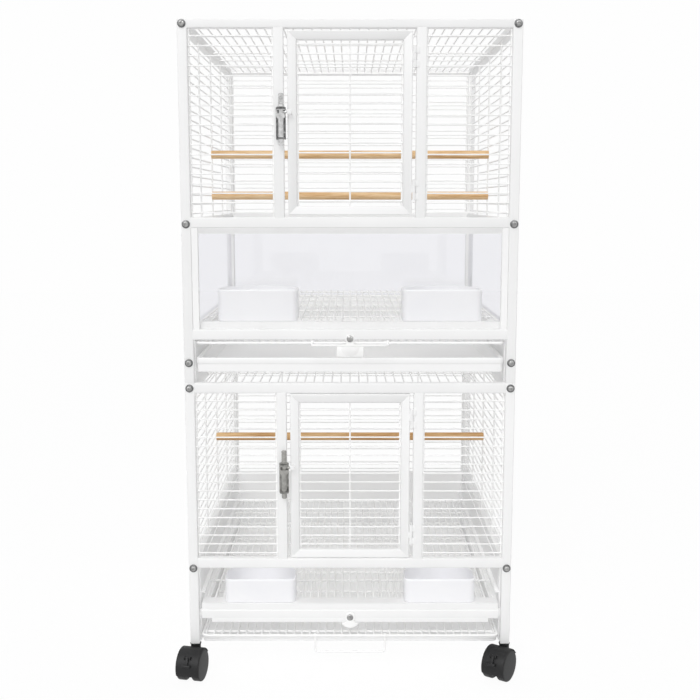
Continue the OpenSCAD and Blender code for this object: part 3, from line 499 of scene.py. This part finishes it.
upper_top_rail, lower_top_rail = (UPPER_EAVE, UPPER_TOP), rail(LOWER_EAVE)
upper_front = (end_frame(FRONT, UPPER, [rail(UPPER_LOW), rail(UPPER_MID), upper_top_rail])
               + mullions(UPPER_MID + RAIL, UPPER_EAVE)
               + sill_sheet(UPPER_FLOOR, INNER_FRONT - SHEET, UPPER_SILL))
lower_front = (end_frame(FRONT, LOWER, [rail(LOWER_MID), lower_top_rail])
               + mullions(LOWER_MID + RAIL, LOWER_EAVE)
               + sill_sheet(LOWER_FLOOR, FRONT + 1, LOWER_SILL)
               + drawer_rail(DRAWER_RAIL, LOWER_SILL))
upper_back = end_frame(INNER_BACK, UPPER, [rail(UPPER_SKIRT), rail(UPPER_LOW), rail(UPPER_MID),
                                           upper_top_rail])
upper_back.append(back_skirt(UPPER_SKIRT, UPPER_LOW))
lower_back = end_frame(INNER_BACK, LOWER, [rail(LOWER), rail(LOWER_MID - RAIL), lower_top_rail])
lower_back.append(back_skirt(LOWER, LOWER_MID))
ledge_y = INNER_FRONT + LEDGE
upper_sides = side_tubes(
    [rail(UPPER_SKIRT), rail(UPPER_LOW), rail(UPPER_SIDE_MID), upper_top_rail],
    (UPPER + 0.1, UPPER_FLOOR - UNDER_FLOOR),
    [(top, LEDGE, ledge_y)
     for top in (UPPER_TRAY_LEDGE, UPPER_GRATE - 4.2, UPPER_FLOOR - UNDER_FLOOR)])
lower_sides = side_tubes(
    [rail(LOWER), rail(LOWER_SIDE_MID), lower_top_rail], (LOWER + 0.1, LOWER_SIDE_MID + 0.9),
    [(LOWER_TRAY_LEDGE, LEDGE, ledge_y), (LOWER_FLOOR - UNDER_FLOOR, LEDGE, ledge_y),
     (120, 7, INNER_FRONT + 1)])
for place, upper_blocks, lower_blocks, node in [
        ("front", upper_front, lower_front, "front_frame"),
        ("back", upper_back, lower_back, "back_frame"),
        ("side", upper_sides, lower_sides, "side_frames")]:
    for cage, blocks in (("upper", upper_blocks), ("lower", lower_blocks)):
        piece(f"{cage}_{place}_tubes", blocks, frame_coat, cage + "_cage", [f"{cage}_{node}"])


# Wire panels
def rows(height):
    """Wire heights in a panel: half a pitch up, then one pitch apart."""
    return np.arange(PITCH / 2, height - 2, PITCH)


def centred(length, pitch, inset):
    """Places a pitch apart with one in the middle."""
    count = int((length / 2 - inset) / pitch)
    return length / 2 + np.arange(-count, count + 1) * pitch


def edged(places, length, radius=CROSS):
    """The places with a wire at each end."""
    return np.concatenate([[radius], places, [length - radius]])


def crosses_in(length, pitch=CROSS_PITCH, radius=CROSS):
    """Places of cross wires: one in the middle, others a pitch apart and one at each end."""
    return edged(centred(length, pitch, 20), length, radius)


def panel(origin, across, up, behind, width, height, crosses, wire_rows=None, wire=WIRE,
          cross=CROSS):
    """Welded panel: wires along `across` at the rows, cross wires along `up` behind them."""
    wire_rows = rows(height) if wire_rows is None else wire_rows
    origin, across, up, behind = (np.array(v, float) for v in (origin, across, up, behind))
    level = wire_rows[:, None] * up
    place = np.array(crosses)[:, None] * across + (wire + cross - WELD) * behind
    return [rods(origin + level, across, width, wire, crosses),
            rods(origin + place, up, height, cross, wire_rows)]


def front_panels(z0, z1):
    """The two panels beside a door."""
    width, blocks = INNER - MULLION[1], []
    for x in (-INNER, MULLION[1]):
        blocks += panel((x, FRONT + TUBE / 2, z0), X, Z, Y, width, z1 - z0, edged([], width))
    return blocks


def back_panel(z0, z1):
    """Panel across the back, cross wires outside."""
    width = 2 * INNER
    return panel((-INNER, BACK - TUBE / 2, z0), X, Z, Y, width, z1 - z0, crosses_in(width))


def side_panels(z0, z1):
    """Panels at both sides, cross wires inside."""
    width = INNER_BACK - INNER_FRONT
    right = panel((POST, INNER_FRONT, z0), Y, Z, LEFT, width, z1 - z0, crosses_in(width))
    return right + [mirrored(block) for block in right]


def top_panel(z, cross_pitch):
    """Panel of the top: wires front to back over cross wires."""
    width, depth = 2 * INNER, INNER_BACK - INNER_FRONT
    return panel((INNER, INNER_FRONT, z), Y, LEFT, DOWN, depth, width,
                 crosses_in(depth, cross_pitch), centred(width, PITCH, 5))


def door_panel(z0, z1):
    """Panel in a door with one upright wire."""
    half, low, high = DOOR - DOOR_TUBE, z0 + DOOR_TUBE, z1 - DOOR_TUBE
    return panel((-half, FRONT + DOOR_DEEP / 2, low), X, Z, Y, 2 * half, high - low,
                 edged([half], 2 * half))


def floor_panel(z):
    """Wire floor on its cross wires."""
    front = INNER_FRONT + LEDGE + 0.3
    depth = INNER_BACK - 0.3 - front
    return panel((FLOOR_W / 2, front, z - FLOOR_WIRE), Y, LEFT, DOWN, depth, FLOOR_W,
                 crosses_in(depth, FLOOR_CROSS_PITCH, FLOOR_CROSS),
                 centred(FLOOR_W, FLOOR_PITCH, 2), FLOOR_WIRE, FLOOR_CROSS)


def wire_panels(cage, lows, eave, top, cross_pitch, door, floor):
    """All wire panels of a cage: `lows` are the lower edges in front, at the back and beside."""
    front, back, side = lows
    for node, blocks in (("front_mesh", front_panels(front, eave)),
                         ("back_mesh", back_panel(back, eave)),
                         ("side_meshes", side_panels(side, eave)),
                         ("top_mesh", top_panel(top, cross_pitch)),
                         ("door_mesh", door_panel(*door)), ("floor_grate", floor_panel(floor))):
        place = node.split("_")[0]
        body = "door" if place == "door" else "cage"
        piece(f"{cage}_{place}_wires", blocks, wire_coat, f"{cage}_{body}", [f"{cage}_{node}"])


wire_panels("upper", (UPPER_MID + RAIL, UPPER_MID + RAIL, UPPER_SIDE_MID + RAIL), UPPER_EAVE,
            UPPER_TOP - TOP_RAIL / 2, CROSS_PITCH * 2 / 3, UPPER_DOOR, UPPER_FLOOR)
wire_panels("lower", (LOWER_MID + RAIL, LOWER_MID, LOWER_SIDE_MID + RAIL), LOWER_EAVE,
            LOWER_TOP - RAIL / 2, CROSS_PITCH, LOWER_DOOR, LOWER_FLOOR)


# Pull-out grates
# their front bars, the reach of the bails and the radius of a bail's eyes
UPPER_BAR, LOWER_BAR, REACH, EYE = FRONT + 3, FRONT - 1, 24.0, 2.75


def pull_grate(z, bar_y):
    """Floor wires from the front bar to the back bar, with both bars bent round into the rim."""
    depth = INNER_BACK - 2 - bar_y
    crosses = np.concatenate([[20], centred(depth, FLOOR_CROSS_PITCH, 40), [depth - 1.5]])
    blocks = panel((FLOOR_W / 2, bar_y, z), Y, LEFT, DOWN, depth, FLOOR_W,
                   crosses, centred(FLOOR_W, FLOOR_PITCH, 4), FLOOR_WIRE, FLOOR_CROSS)
    x, back = FLOOR_W / 2 - 1.6, INNER_BACK - 4
    rim = rounded_path([(0, bar_y, z), (x, bar_y, z), (x, back, z), (-x, back, z),
                        (-x, bar_y, z), (-0.5, bar_y, z)], 7)
    blocks.append(bent(rim, 1.75, 12, closed=True))
    return blocks


def handle(z, bar_y, grip, forward):
    """Bail of bent wire: an eye rolled at each end round the front bar, and a grip with bent
    corners; it lies forward or hangs."""
    def at(x, reach):
        return (x, bar_y - reach, z) if forward else (x, bar_y, z - reach)

    path = rounded_path([at(-grip, 2.6), at(-grip, REACH), at(grip, REACH), at(grip, 2.6)], 4)
    blocks = [bent(path, 1.5, 14)]
    turn = np.linspace(0, 2 * pi, 28, endpoint=False)
    for side in (-1, 1):
        eye = np.stack([np.full(28, side * grip), bar_y + EYE * np.cos(turn),
                        z + EYE * np.sin(turn)], 1)
        points, faces = bent(eye, 0.8, 10, closed=True)
        # the eye is a flattened wire, so its section is stretched along the bar
        points[:, 0] = side * grip + (points[:, 0] - side * grip) * 2.2
        blocks.append((points, faces))
    return blocks


piece("lower_grate_wires", pull_grate(LOWER_GRATE, LOWER_BAR), wire_coat, "lower_grate",
      ["lower_pull_grate"])
for cage, bail in (("upper", handle(UPPER_GRATE, UPPER_BAR, 50.85, True)),
                   ("lower", handle(LOWER_GRATE, LOWER_BAR, 49.0, False))):
    piece(cage + "_grate_bail", bail, wire_coat, cage + "_handle", [cage + "_grate_handle"])

# back face and thickness of the turn plates, heights of their screws
TURN_BACK, TURN = FRONT - 1.4, 1.6
UPPER_SCREW, LOWER_SCREW = 483.0, 88.9
tab_y = TURN_BACK + 0.3
tab = [bar(-18, 18, tab_y, tab_y + 1, UPPER_GRATE - 18.5, UPPER_GRATE - 3.4, 0.5, 0.3),
       bar(-5, 5, tab_y, tab_y + 1, UPPER_GRATE - 4.5, UPPER_SCREW + 5, 0.5, 0.3),
       bar(-3, 3, tab_y, UPPER_BAR, UPPER_GRATE - 1.5, UPPER_GRATE + 0.5, 0.5, 0.3)]
piece("upper_grate_wires", pull_grate(UPPER_GRATE, UPPER_BAR) + tab, wire_coat, "upper_grate",
      ["upper_pull_grate"])


def half_moon(z, drop, radius, hub_r, shoulder):
    """Turn plate: a hub round the screw, a neck and, below the shoulders, the round part of a
    circle whose lowest point hangs `drop` under the screw."""
    low = drop - radius
    half = sqrt(radius ** 2 - (shoulder - low) ** 2)
    neck = hub_r - 0.6
    open_at = asin((hub_r - 1) / hub_r)
    hub = np.linspace(-open_at, pi + open_at, 40)
    rim = asin((shoulder - low) / radius)
    lobe = np.linspace(pi + rim, 2 * pi - rim, 48)
    outline = np.concatenate([
        np.stack([hub_r * np.cos(hub), hub_r * np.sin(hub)], 1),
        [[-neck, 0.6 - hub_r], [-neck - 0.8, -shoulder + 0.3], [0.6 - half, -shoulder]],
        np.stack([radius * np.cos(lobe), radius * np.sin(lobe) - low], 1),
        [[half - 0.6, -shoulder], [neck + 0.8, -shoulder + 0.3], [neck, 0.6 - hub_r]]])
    return (outline + (0, z))[::-1]


for cage, z, shape in (("upper", UPPER_SCREW, (23, 12.7, 5.6, 8.8)),
                       ("lower", LOWER_SCREW, (15.5, 14, 6.8, 8.4))):
    outline = half_moon(z, *shape)
    middle = np.array([0, z - shape[0] * 0.55])
    face_y = TURN_BACK - TURN
    rings = []
    for y, inset in ((TURN_BACK, 0.0), (face_y + 0.4, 0.0), (face_y + 0.1, 0.3), (face_y, 0.5)):
        flat = outline + (middle - outline) * inset / 14
        rings.append(np.insert(flat, 1, y, axis=1))
    piece(cage + "_turn_blade", [skin(rings)], wire_coat, cage + "_lock",
          [cage + "_turn_plate"])


# Screws
# thickness of a washer and radius of a bolt
WASHER, BOLT = 1.2, 2.5


def socket_head(place, way, radius, height, socket, depth):
    """Button head: a flat skirt, a domed shoulder and a hexagon socket sunk into it."""
    way, circle = round_section(way, 36)
    profile = [(0, radius), (0.3 * height, radius)]
    for t in np.linspace(0.15, 1, 5):
        profile.append((height * (0.3 + 0.7 * sin(t * pi / 2)),
                        radius * (0.58 + 0.42 * cos(t * pi / 2))))
    rings = [np.array(place) + a * way + r * circle for a, r in profile]
    # a hexagon's radius is that of its flats over the cosine of the angle from the nearest flat
    reach = socket / np.cos((ring(36) + pi / 6) % (pi / 3) - pi / 6)
    hexed = reach[:, None] * circle
    rings += [np.array(place) + height * way + hexed,
              np.array(place) + (height - depth) * way + hexed * 0.98]
    return skin(rings)


def bolts(heights):
    """Heads and shanks, and washers with eased edges, at both faces of the four posts."""
    heads, washers = [], []
    for x in (-POST, POST):
        for z in heights:
            for y, way, inwards in ((FRONT, AHEAD, Y), (BACK, Y, AHEAD)):
                washers.append(turned([(0, 5.2), (0.2, 5.5), (1.0, 5.5), (WASHER, 5.2)],
                                      (x, y, z), way, 40))
                heads.append(socket_head((x, y + WASHER * way[1], z), way, radius=3.7, height=3.0,
                                         socket=1.7, depth=1.9))
                length = TUBE + 11.5
                heads.append(turned([(0, BOLT), (length - 1, BOLT), (length, BOLT * 0.7)],
                                    (x, y, z), inwards, 16))
    return heads, washers


def pan_head(z, tail):
    """Pan head screw with a round recess, in front of a turn plate, and its shank."""
    radius, height, place = 4.5, 2.2, (0, TURN_BACK - TURN - 0.3, z)
    dome = turned([(0, radius), (0.45 * height, radius), (0.8 * height, radius * 0.86),
                   (height, radius * 0.6), (height, 1.3), (0.55 * height, 1.1)], place, AHEAD, 36)
    return [dome, turned([(0, 1.5), (tail, 1.45)], place, Y, 16)]


# the bolts sit at the middle of these side rails
for cage, rails, screws in (
        ("upper", (rail(UPPER_SKIRT), rail(UPPER_SIDE_MID), upper_top_rail), []),
        ("lower", (rail(LOWER_SIDE_MID), lower_top_rail), pan_head(LOWER_SCREW, 12))):
    heads, washers = bolts([(low + high) / 2 for low, high in rails])
    piece(cage + "_bolt_heads", heads + screws, zinc, cage + "_cage", [cage + "_bolts"])
    piece(cage + "_bolt_washers", washers, zinc_dark, cage + "_cage", [cage + "_bolts"])
piece("upper_turn_screw_head", pan_head(UPPER_SCREW, 3.2), zinc, "upper_grate",
      ["upper_turn_screw"])


# Doors
# hinge pin and latch rod seen from above, hinge and bracket lengths, and the arm's height
HINGE_X, HINGE_Y, HINGE, KNUCKLE = 84.5, FRONT - 1.5, 27.0, 2.2
LATCH_X, LATCH_Y, BRACKET = -90.25, FRONT - 6.5, 41.0
ARM = BRACKET - 5.7


def mitred_frame(z0, z1):
    """Door tube: a rounded rectangle carried round the opening, square mitres with a fine groove
    where the ends are welded."""
    section = rounded_outline(DOOR_TUBE, DOOR_DEEP, 1.4)
    corners = np.array([(-DOOR, z0), (DOOR, z0), (DOOR, z1), (-DOOR, z1)])
    rings = []
    for k, corner in enumerate(corners):
        into = np.sign(corners.mean(0) - corner)
        before, after = (np.sign(corners[(k + step) % 4] - corner) for step in (-1, 1))
        for along, sink in ((0.35 * before, 0), (0 * before, 0.22), (0.35 * after, 0)):
            shrink = 1 - sink / (DOOR_TUBE / 2)
            across = DOOR_TUBE / 2 - section[:, 0] * shrink
            flat = corner + into * across[:, None] + along
            depth = FRONT + DOOR_DEEP / 2 + section[:, 1] * shrink
            rings.append(np.insert(flat, 1, depth, axis=1))
    return skin(rings, wrap_rows=True)


def hinge_feet(z0, z1):
    """Heights at which a door's two hinges start."""
    return z0 + 20, z1 - 20 - HINGE


def latch_foot(z0, z1):
    """Height at which the bracket starts, so that its middle is the door's."""
    return (z0 + z1) / 2 - BRACKET / 2


def door_blocks(z0, z1):
    """Mitred tube, the middle knuckle of each hinge with its leaf, and the latch keeper."""
    blocks = [mitred_frame(z0, z1)]
    for low in hinge_feet(z0, z1):
        blocks.append(turned([(0, 1.5), (0, 2.0), (0.25, KNUCKLE), (8.15, KNUCKLE), (8.4, 2.0),
                              (8.4, 1.5)], (HINGE_X, HINGE_Y, low + 9.3), Z, 28))
        blocks.append(bar(81.2, HINGE_X, HINGE_Y + 0.8, HINGE_Y + 2.1, low + 9.5, low + 17.5,
                          0.4, 0.3))
    arm = latch_foot(z0, z1) + ARM
    blocks.append(bar(-81.9, -76, LATCH_Y - 2.2, FRONT + 0.4, arm - 3.2, arm + 3.2, 1.0, 0.6))
    return blocks


def hinge_blocks(z0, z1):
    """Outer knuckles, the leaf on the mullion and the pin with its domed ends."""
    blocks = []
    for low in hinge_feet(z0, z1):
        blocks.append(turned([(-0.5, 0.7), (-0.3, 1.2), (0, 1.2), (HINGE, 1.2), (HINGE + 0.3, 1.2),
                              (HINGE + 0.5, 0.7)], (HINGE_X, HINGE_Y, low), Z, 20))
        for foot in (low, low + 18):
            blocks.append(turned([(0, 1.9), (0.3, KNUCKLE), (8.7, KNUCKLE), (9, 1.9)],
                                 (HINGE_X, HINGE_Y, foot), Z, 28))
            blocks.append(bar(HINGE_X, 91, FRONT - 1.25, FRONT + 0.1, foot + 0.2, foot + 8.8,
                              0.4, 0.3))
    return blocks


for cage, door in (("upper", UPPER_DOOR), ("lower", LOWER_DOOR)):
    piece(cage + "_door_tube", door_blocks(*door), frame_coat, cage + "_door",
          [cage + "_door_frame"])
    piece(cage + "_door_knuckles", hinge_blocks(*door), frame_coat, cage + "_cage",
          [cage + "_door_hinges"])


# Latches
ROD, ROD_LENGTH, EAR = 3.5, 67.0, 2.5


def bracket_blocks(z):
    """Pressed bracket: back plate with two rivets and an ear at each end."""
    blocks = [bar(LATCH_X - 7, LATCH_X + 6, FRONT - 1.5, FRONT, z, z + BRACKET, 0.7, 0.4)]
    turn = np.linspace(0, pi, 20)
    for low in (z, z + BRACKET - EAR):
        outline = np.concatenate([
            np.stack([LATCH_X + 6.5 * np.cos(turn), LATCH_Y - 6.5 * np.sin(turn)], 1),
            [[LATCH_X - 6.5, FRONT - 0.5], [LATCH_X + 5.9, FRONT - 0.5]]])
        blocks.append(skin([np.insert(outline, 2, h, axis=1) for h in (low, low + EAR)]))
    for height in (z + 8, z + BRACKET - 20):
        blocks.append(turned([(0, 1.8), (0.5, 1.8), (0.9, 1.0)],
                             (LATCH_X + 4.2, FRONT - 1.5, height), AHEAD, 20))
    return blocks


def guard_blocks(z):
    """Curved guard in front of the rod, with a slot for the arm and a pointed lower edge."""
    base = np.array([LATCH_X, LATCH_Y, 0])
    arm_low, arm_high = z + BRACKET - 8.0, z + BRACKET - 3.4

    def shield(first, last, low, high, point):
        """Part of the guard: a curved plate in front of the rod, its lower edge in a V."""
        turn = np.radians(np.linspace(first, last, 24))
        way = np.stack([np.sin(turn), -np.cos(turn), 0 * turn], 1)
        foot = np.stack([0 * turn, 0 * turn, low - point * (1 - np.abs(turn) / 1.7)], 1)
        head = np.array([0, 0, high])
        inner, outer = base + way * 5.0, base + way * 6.2
        return skin(np.stack([inner + foot, outer + foot, outer + head, inner + head], 1)[None])

    return [shield(-97, 97, z + BRACKET - 10.5, arm_low, 6.5),
            shield(-97, -62, arm_low - 0.5, arm_high + 0.5, 0),
            shield(-97, 97, arm_high, z + BRACKET - 2.2, 0)]


def rod_blocks(z):
    """Latch rod with a grip of four grooves, a collar that sits on the bracket and the arm."""
    profile = [(0, 2.6), (0.8, ROD), (ROD_LENGTH - 15, ROD)]
    for groove in ROD_LENGTH - 14.2 + 3 * np.arange(4):
        profile += [(groove, ROD), (groove + 0.4, 3.1), (groove + 1.0, 3.1), (groove + 1.4, ROD)]
    profile += [(ROD_LENGTH - 0.8, ROD), (ROD_LENGTH, 2.6)]
    return [turned(profile, (LATCH_X, LATCH_Y, z - 7.8), Z, 40),
            turned([(0, 4.6), (0.3, 5.0), (1.2, 5.0), (1.5, 4.6)],
                   (LATCH_X, LATCH_Y, z + BRACKET + 0.3), Z, 40),
            turned([(0, 1.9), (7.2, 1.9), (7.8, 1.5)], (LATCH_X, LATCH_Y, z + ARM), X, 24)]


# each bracket takes a darker copy of its rod's metal: painted dark reflection on the upper latch,
# painted shade on the lower
for cage, door, pressing, turning in (("upper", UPPER_DOOR, chrome_pressing_painted_reflection, chrome),
                                      ("lower", LOWER_DOOR, die_pressing_painted_shade, die_cast)):
    z = latch_foot(*door)
    piece(cage + "_latch_bracket_pressing", bracket_blocks(z), pressing, cage + "_cage",
          [cage + "_latch_bracket"])
    piece(cage + "_latch_guard", guard_blocks(z), turning, cage + "_cage")
    piece(cage + "_latch_rod_turning", rod_blocks(z), turning, cage + "_latch",
          [cage + "_latch_rod"])


# Cups and trays
CUP_DEPTH, CUP_CORNER, CUP_WALL = 74.0, 9.0, 2.0


def cup_outline(width, inset):
    """Feed cup seen from above: straight front with round corners, arched back."""
    w, d, r = width - 2 * inset, CUP_DEPTH - 2 * inset, max(CUP_CORNER - inset, 0.6)
    arc = (w * w / 4 + d * d / 4) / d
    turn = np.linspace(pi, 1.5 * pi, 7)
    left = np.stack([-w / 2 + r + r * np.cos(turn), r + r * np.sin(turn)], 1)
    right = left[::-1] * (-1, 1)
    reach = asin(min((w / 2) / arc, 1))
    sweep = np.linspace(reach, -reach, 25)
    back = np.stack([arc * np.sin(sweep), d - arc + arc * np.cos(sweep)], 1)
    points = np.concatenate([left, right, back])
    points[:, 1] += inset
    return points


def wall_steps(height):
    """Insets and heights up the outside, over a rolled lip and down the inside to the floor."""
    foot, wall = 1.5, CUP_WALL
    return [(foot, 0.0), (foot * 0.3, foot * 0.3), (0.25, foot), (0.25, height - 3.2),
            (0.0, height - 2.6), (0.0, height - 0.8), (0.5, height - 0.1),
            (wall * 0.55, height), (wall - 0.2, height - 0.5), (wall, height - 2),
            (wall + 0.4, 6.5), (wall + 1.6, wall + 1.4), (wall + 4.5, wall + 0.1),
            (wall + 12, wall)]


for cage, y, z, width, height in (("upper", INNER_FRONT + 2, UPPER_FLOOR + 0.3, 109.5, 43),
                                  ("lower", FRONT + 3, LOWER_FLOOR + 0.3, 100, 34)):
    pot = vessel(lambda inset: cup_outline(width, inset), wall_steps(height))
    for side, x in (("left", -126), ("right", 126)):
        piece(f"{cage}_cup_{side}_moulding", [moved(pot, (x, y, z))], cup_plastic,
              f"{cage}_{side}_cup", [f"{cage}_cup_{side}"])


def tray_blocks(z, height, y0, slope):
    """Pressed tray: a rolled rim, a wall just under it, and inside a slope down to the floor."""
    depth = INNER_BACK - 3 - y0
    middle = y0 + depth / 2
    roll = height * 0.45

    def outline(inset):
        return rounded_outline(FLOOR_W - 2 * inset, depth - 2 * inset, max(7 - inset, 2), 6)

    turn = np.linspace(-pi / 2, pi / 2, 9)
    steps = [(1.6, 0.0), (1.1, 0.5), (1.1, height - roll)]
    steps += [(1.1 * (1 - cos(t)), height - roll / 2 + roll / 2 * sin(t)) for t in turn]
    steps += [(5.2, height - 0.1), (6.2, height - 0.5), (6.4 + slope * 0.5, height * 0.5 + 1),
              (6.4 + slope, 2.4), (8 + slope, 2.1), (40 + slope, 2.0)]
    return [moved(vessel(outline, steps), (0, middle, z))]


for cage, z, height, y0, slope in (("upper", UPPER_TRAY_LEDGE + 0.3, 19.5, FRONT + 0.5, 6),
                                   ("lower", LOWER_TRAY_LEDGE + 0.3, 7, FRONT + 4.5, 16)):
    piece(cage + "_tray_pressing", tray_blocks(z, height, y0, slope), tray_enamel,
          cage + "_drawer", [cage + "_tray"])


# Casters
# wheel radius and width, half the web, the hood's radius, and how far the axle trails the stem
WHEEL, WHEEL_W, WEB, HOOD, TRAIL = 22.0, 12.0, 4.0, 24.0, 15.0
WHEEL_IN = WEB + 0.6
SIDE = WHEEL_IN + WHEEL_W
# lean of the brake at rest, and its pin seen from the axle before it leans
BRAKE_LEAN, PIVOT_Y, PIVOT_Z = radians(28), -25.7, 6.5


def carried(section, angles):
    """A closed section of (x, radius) points carried round the axle through the angles, which
    count from straight up towards the trailing side."""
    x, r = np.array(section, float).T
    rings = [np.stack([x, -TRAIL - r * sin(a), WHEEL + r * cos(a)], 1) for a in angles]
    return skin(rings)


def leaned(block):
    """A block drawn about the axle, tipped over with the brake and carried to the axle."""
    points, faces = block
    c, s = cos(BRAKE_LEAN), sin(BRAKE_LEAN)
    tip = np.array([[1, 0, 0], [0, c, s], [0, -s, c]])
    return points @ tip.T + (0, -TRAIL, WHEEL), faces


def hood_blocks():
    """Hood over both wheels, the web between them, the neck and flange round the stem, the lugs."""
    turn = np.linspace(0, pi / 2, 5)
    soft = 1.6
    section = [(-SIDE + soft - soft * sin(t), HOOD - soft + soft * cos(t)) for t in turn]
    section += [(-SIDE, 22.9), (-SIDE + 0.5, 22.75), (-SIDE + 1.2, 22.75)]
    section += [(-x, r) for x, r in section[::-1]]
    angles = np.linspace(radians(-57), radians(112), 46)
    blocks = [carried(section, angles)]
    web = [(-WEB, 3.0), (-WEB, 23.4), (WEB, 23.4), (WEB, 3.0)]
    blocks.append(carried(web, np.linspace(radians(-70), radians(112), 40)))
    blocks.append(turned([(-SIDE + 1, 2.6), (-SIDE + 1.4, 3), (SIDE - 1.4, 3), (SIDE - 1, 2.6)],
                         (0, -TRAIL, WHEEL), X, 24))
    blocks.append(turned([(0, 6.5), (0, 7.0), (12.2, 7.0), (12.5, 7.4), (12.7, 7.75), (13.8, 7.75),
                          (14.1, 7.4), (14.1, 4.6)], (0, 0, 34), Z, 40))
    for x in (-5, 3):
        blocks.append(leaned(bar(x, x + 2, PIVOT_Y - 2.2, PIVOT_Y + 6, PIVOT_Z - 2.3, PIVOT_Z + 2.3,
                                 1.0, 0.4)))
    blocks.append(leaned(turned([(0, 0.7), (0.3, 1), (9.7, 1), (10, 0.7)], (-5, PIVOT_Y, PIVOT_Z),
                                X, 16)))
    return blocks


def wheel_blocks():
    """Two wheels: flat tread with round shoulders and a slightly crowned disc."""
    profile = [(WHEEL_IN, 3.05), (WHEEL_IN, 19), (WHEEL_IN + 0.4, 21.0), (WHEEL_IN + 1.4, 21.9),
               (WHEEL_IN + 2.2, WHEEL), (SIDE - 1.5, WHEEL), (SIDE - 0.8, 21.8),
               (SIDE - 0.3, 21.4), (SIDE - 0.1, 20.9)]
    profile += [(SIDE - 0.1 + 0.6 * sin(t), 20.9 * cos(t))
                for t in np.linspace(0.12, 1.53, 10)]
    return both_sides(turned(profile, (0, -TRAIL, WHEEL), X, 72))


def brake_blocks():
    """T-shaped brake tab: a barrel on the pin, a stem and a foot bar with round edges."""
    return [leaned(turned([(0, 1.8), (0.4, 2.2), (5.0, 2.2), (5.4, 1.8)],
                          (-2.7, PIVOT_Y, PIVOT_Z), X, 28)),
            leaned(bar(-2, 2, PIVOT_Y - 1.8, PIVOT_Y + 1, PIVOT_Z - 11, PIVOT_Z - 0.4, 0.8, 0.4)),
            leaned(bar(-6.3, 6.3, PIVOT_Y - 3.6, PIVOT_Y + 1, PIVOT_Z - 13.5, PIVOT_Z - 9.5, 1.4,
                       1.0))]


# side, end and turn about the stem in degrees; the rear casters are the front pair turned round
CASTERS = {"fl": (-1, -1, -12), "fr": (1, -1, -34), "bl": (-1, 1, 180 - 34), "br": (1, 1, 180 - 12)}
for name, (side, end, degrees) in CASTERS.items():
    place = (side * POST, end * (BACK - TUBE / 2), 0)
    for kind, blocks, material, body in [
            ("housing", hood_blocks(), nylon_black, "swivel_"),
            ("wheels", wheel_blocks(), wheel_black, "wheels_"),
            ("brake", brake_blocks(), nylon_black, "brake_")]:
        piece(f"caster_{kind}_{name}_moulding",
              [moved(block, place, radians(degrees)) for block in blocks], material,
              body + name, [f"caster_{kind}_{name}"])


# Light and camera
def white_seen(tree):
    """One for camera, mirror and glass rays, which see plain white; zero for all other rays."""
    rays = add(tree, "LightPath").outputs
    first = add(tree, "Math", {0: rays["Is Camera Ray"], 1: rays["Is Glossy Ray"]},
                operation="MAXIMUM")
    both = add(tree, "Math", {0: first.outputs["Value"], 1: rays["Is Transmission Ray"]},
               operation="MAXIMUM")
    return both.outputs["Value"]


def world_light(strength):
    """White studio: the camera, mirrors and glass see white, the object gets a soft level."""
    world = bpy.data.worlds.new("white studio")
    bpy.context.scene.world = world
    world.use_nodes = True
    tree = world.node_tree
    tree.nodes.clear()
    shown = add(tree, "Background", {"Color": linear("#FEFEFE"), "Strength": 1.0})
    soft = add(tree, "Background", {"Color": linear("#FBFBFB"), "Strength": strength})
    mix = add(tree, "MixShader", {0: white_seen(tree), 1: soft.outputs["Background"],
                                  2: shown.outputs["Background"]})
    add(tree, "OutputWorld", {"Surface": mix.outputs["Shader"]})


def lamp(name, side, height, level, spread, casts=True):
    """Distant soft lamp: degrees to the right of the camera and above the floor; a surface that
    faces it takes the level as its share of white. A fill lamp casts no shadow."""
    light = bpy.data.lights.new(name, "SUN")
    light.energy, light.angle = level * pi, radians(spread)
    light.use_shadow = casts
    new_object(name, light).rotation_euler = (radians(90 - height), 0, radians(side))


def studio_floor(half):
    """Pale floor, `half` metres to each side, that shows white to the camera but keeps a faint
    shadow: mirrors and the camera see its glow and a little of the light on it."""
    data = bpy.data.meshes.new("studio_floor")
    data.from_pydata([(-half, -half, 0), (half, -half, 0), (half, half, 0), (-half, half, 0)],
                     [], [(0, 1, 2, 3)])
    material, tree = new_material("seamless paper")
    paper = add(tree, "BsdfDiffuse", {"Color": linear("#FAFAFA")})
    glow = add(tree, "Emission", {"Color": linear("#FEFEFE"), "Strength": 0.94})
    shade = add(tree, "BsdfDiffuse", {"Color": (0.07, 0.07, 0.07, 1)})
    bright = add(tree, "AddShader", {0: glow.outputs["Emission"], 1: shade.outputs["BSDF"]})
    mix = add(tree, "MixShader", {0: white_seen(tree), 1: paper.outputs["BSDF"],
                                  2: bright.outputs["Shader"]})
    add(tree, "OutputMaterial", {"Surface": mix.outputs["Shader"]})
    data.materials.append(material)
    new_object("studio_floor", data)


# focal length and picture width in pixels, sensor width in mm
FOCAL, PICTURE, SENSOR = 1043, 700, 36

world_light(strength=0.38)
studio_floor(half=6.0)
lamp("key", side=-16, height=42, level=0.28, spread=30)
lamp("fill_left", side=-42, height=38, level=0.22, spread=20, casts=False)
lamp("fill_right", side=38, height=38, level=0.2, spread=20, casts=False)

lens = bpy.data.cameras.new("camera")
lens.sensor_width = SENSOR
lens.lens = FOCAL / PICTURE * SENSOR
camera = new_object("camera", lens)
# 1.4 m in front of the cage, 0.67 m up, looking 8.2 degrees down
camera.location = (0, -1.663, 0.6683)
camera.rotation_euler = (radians(90 - 8.18), 0, 0)
bpy.context.scene.camera = camera
bpy.context.scene.view_settings.view_transform = "Standard"
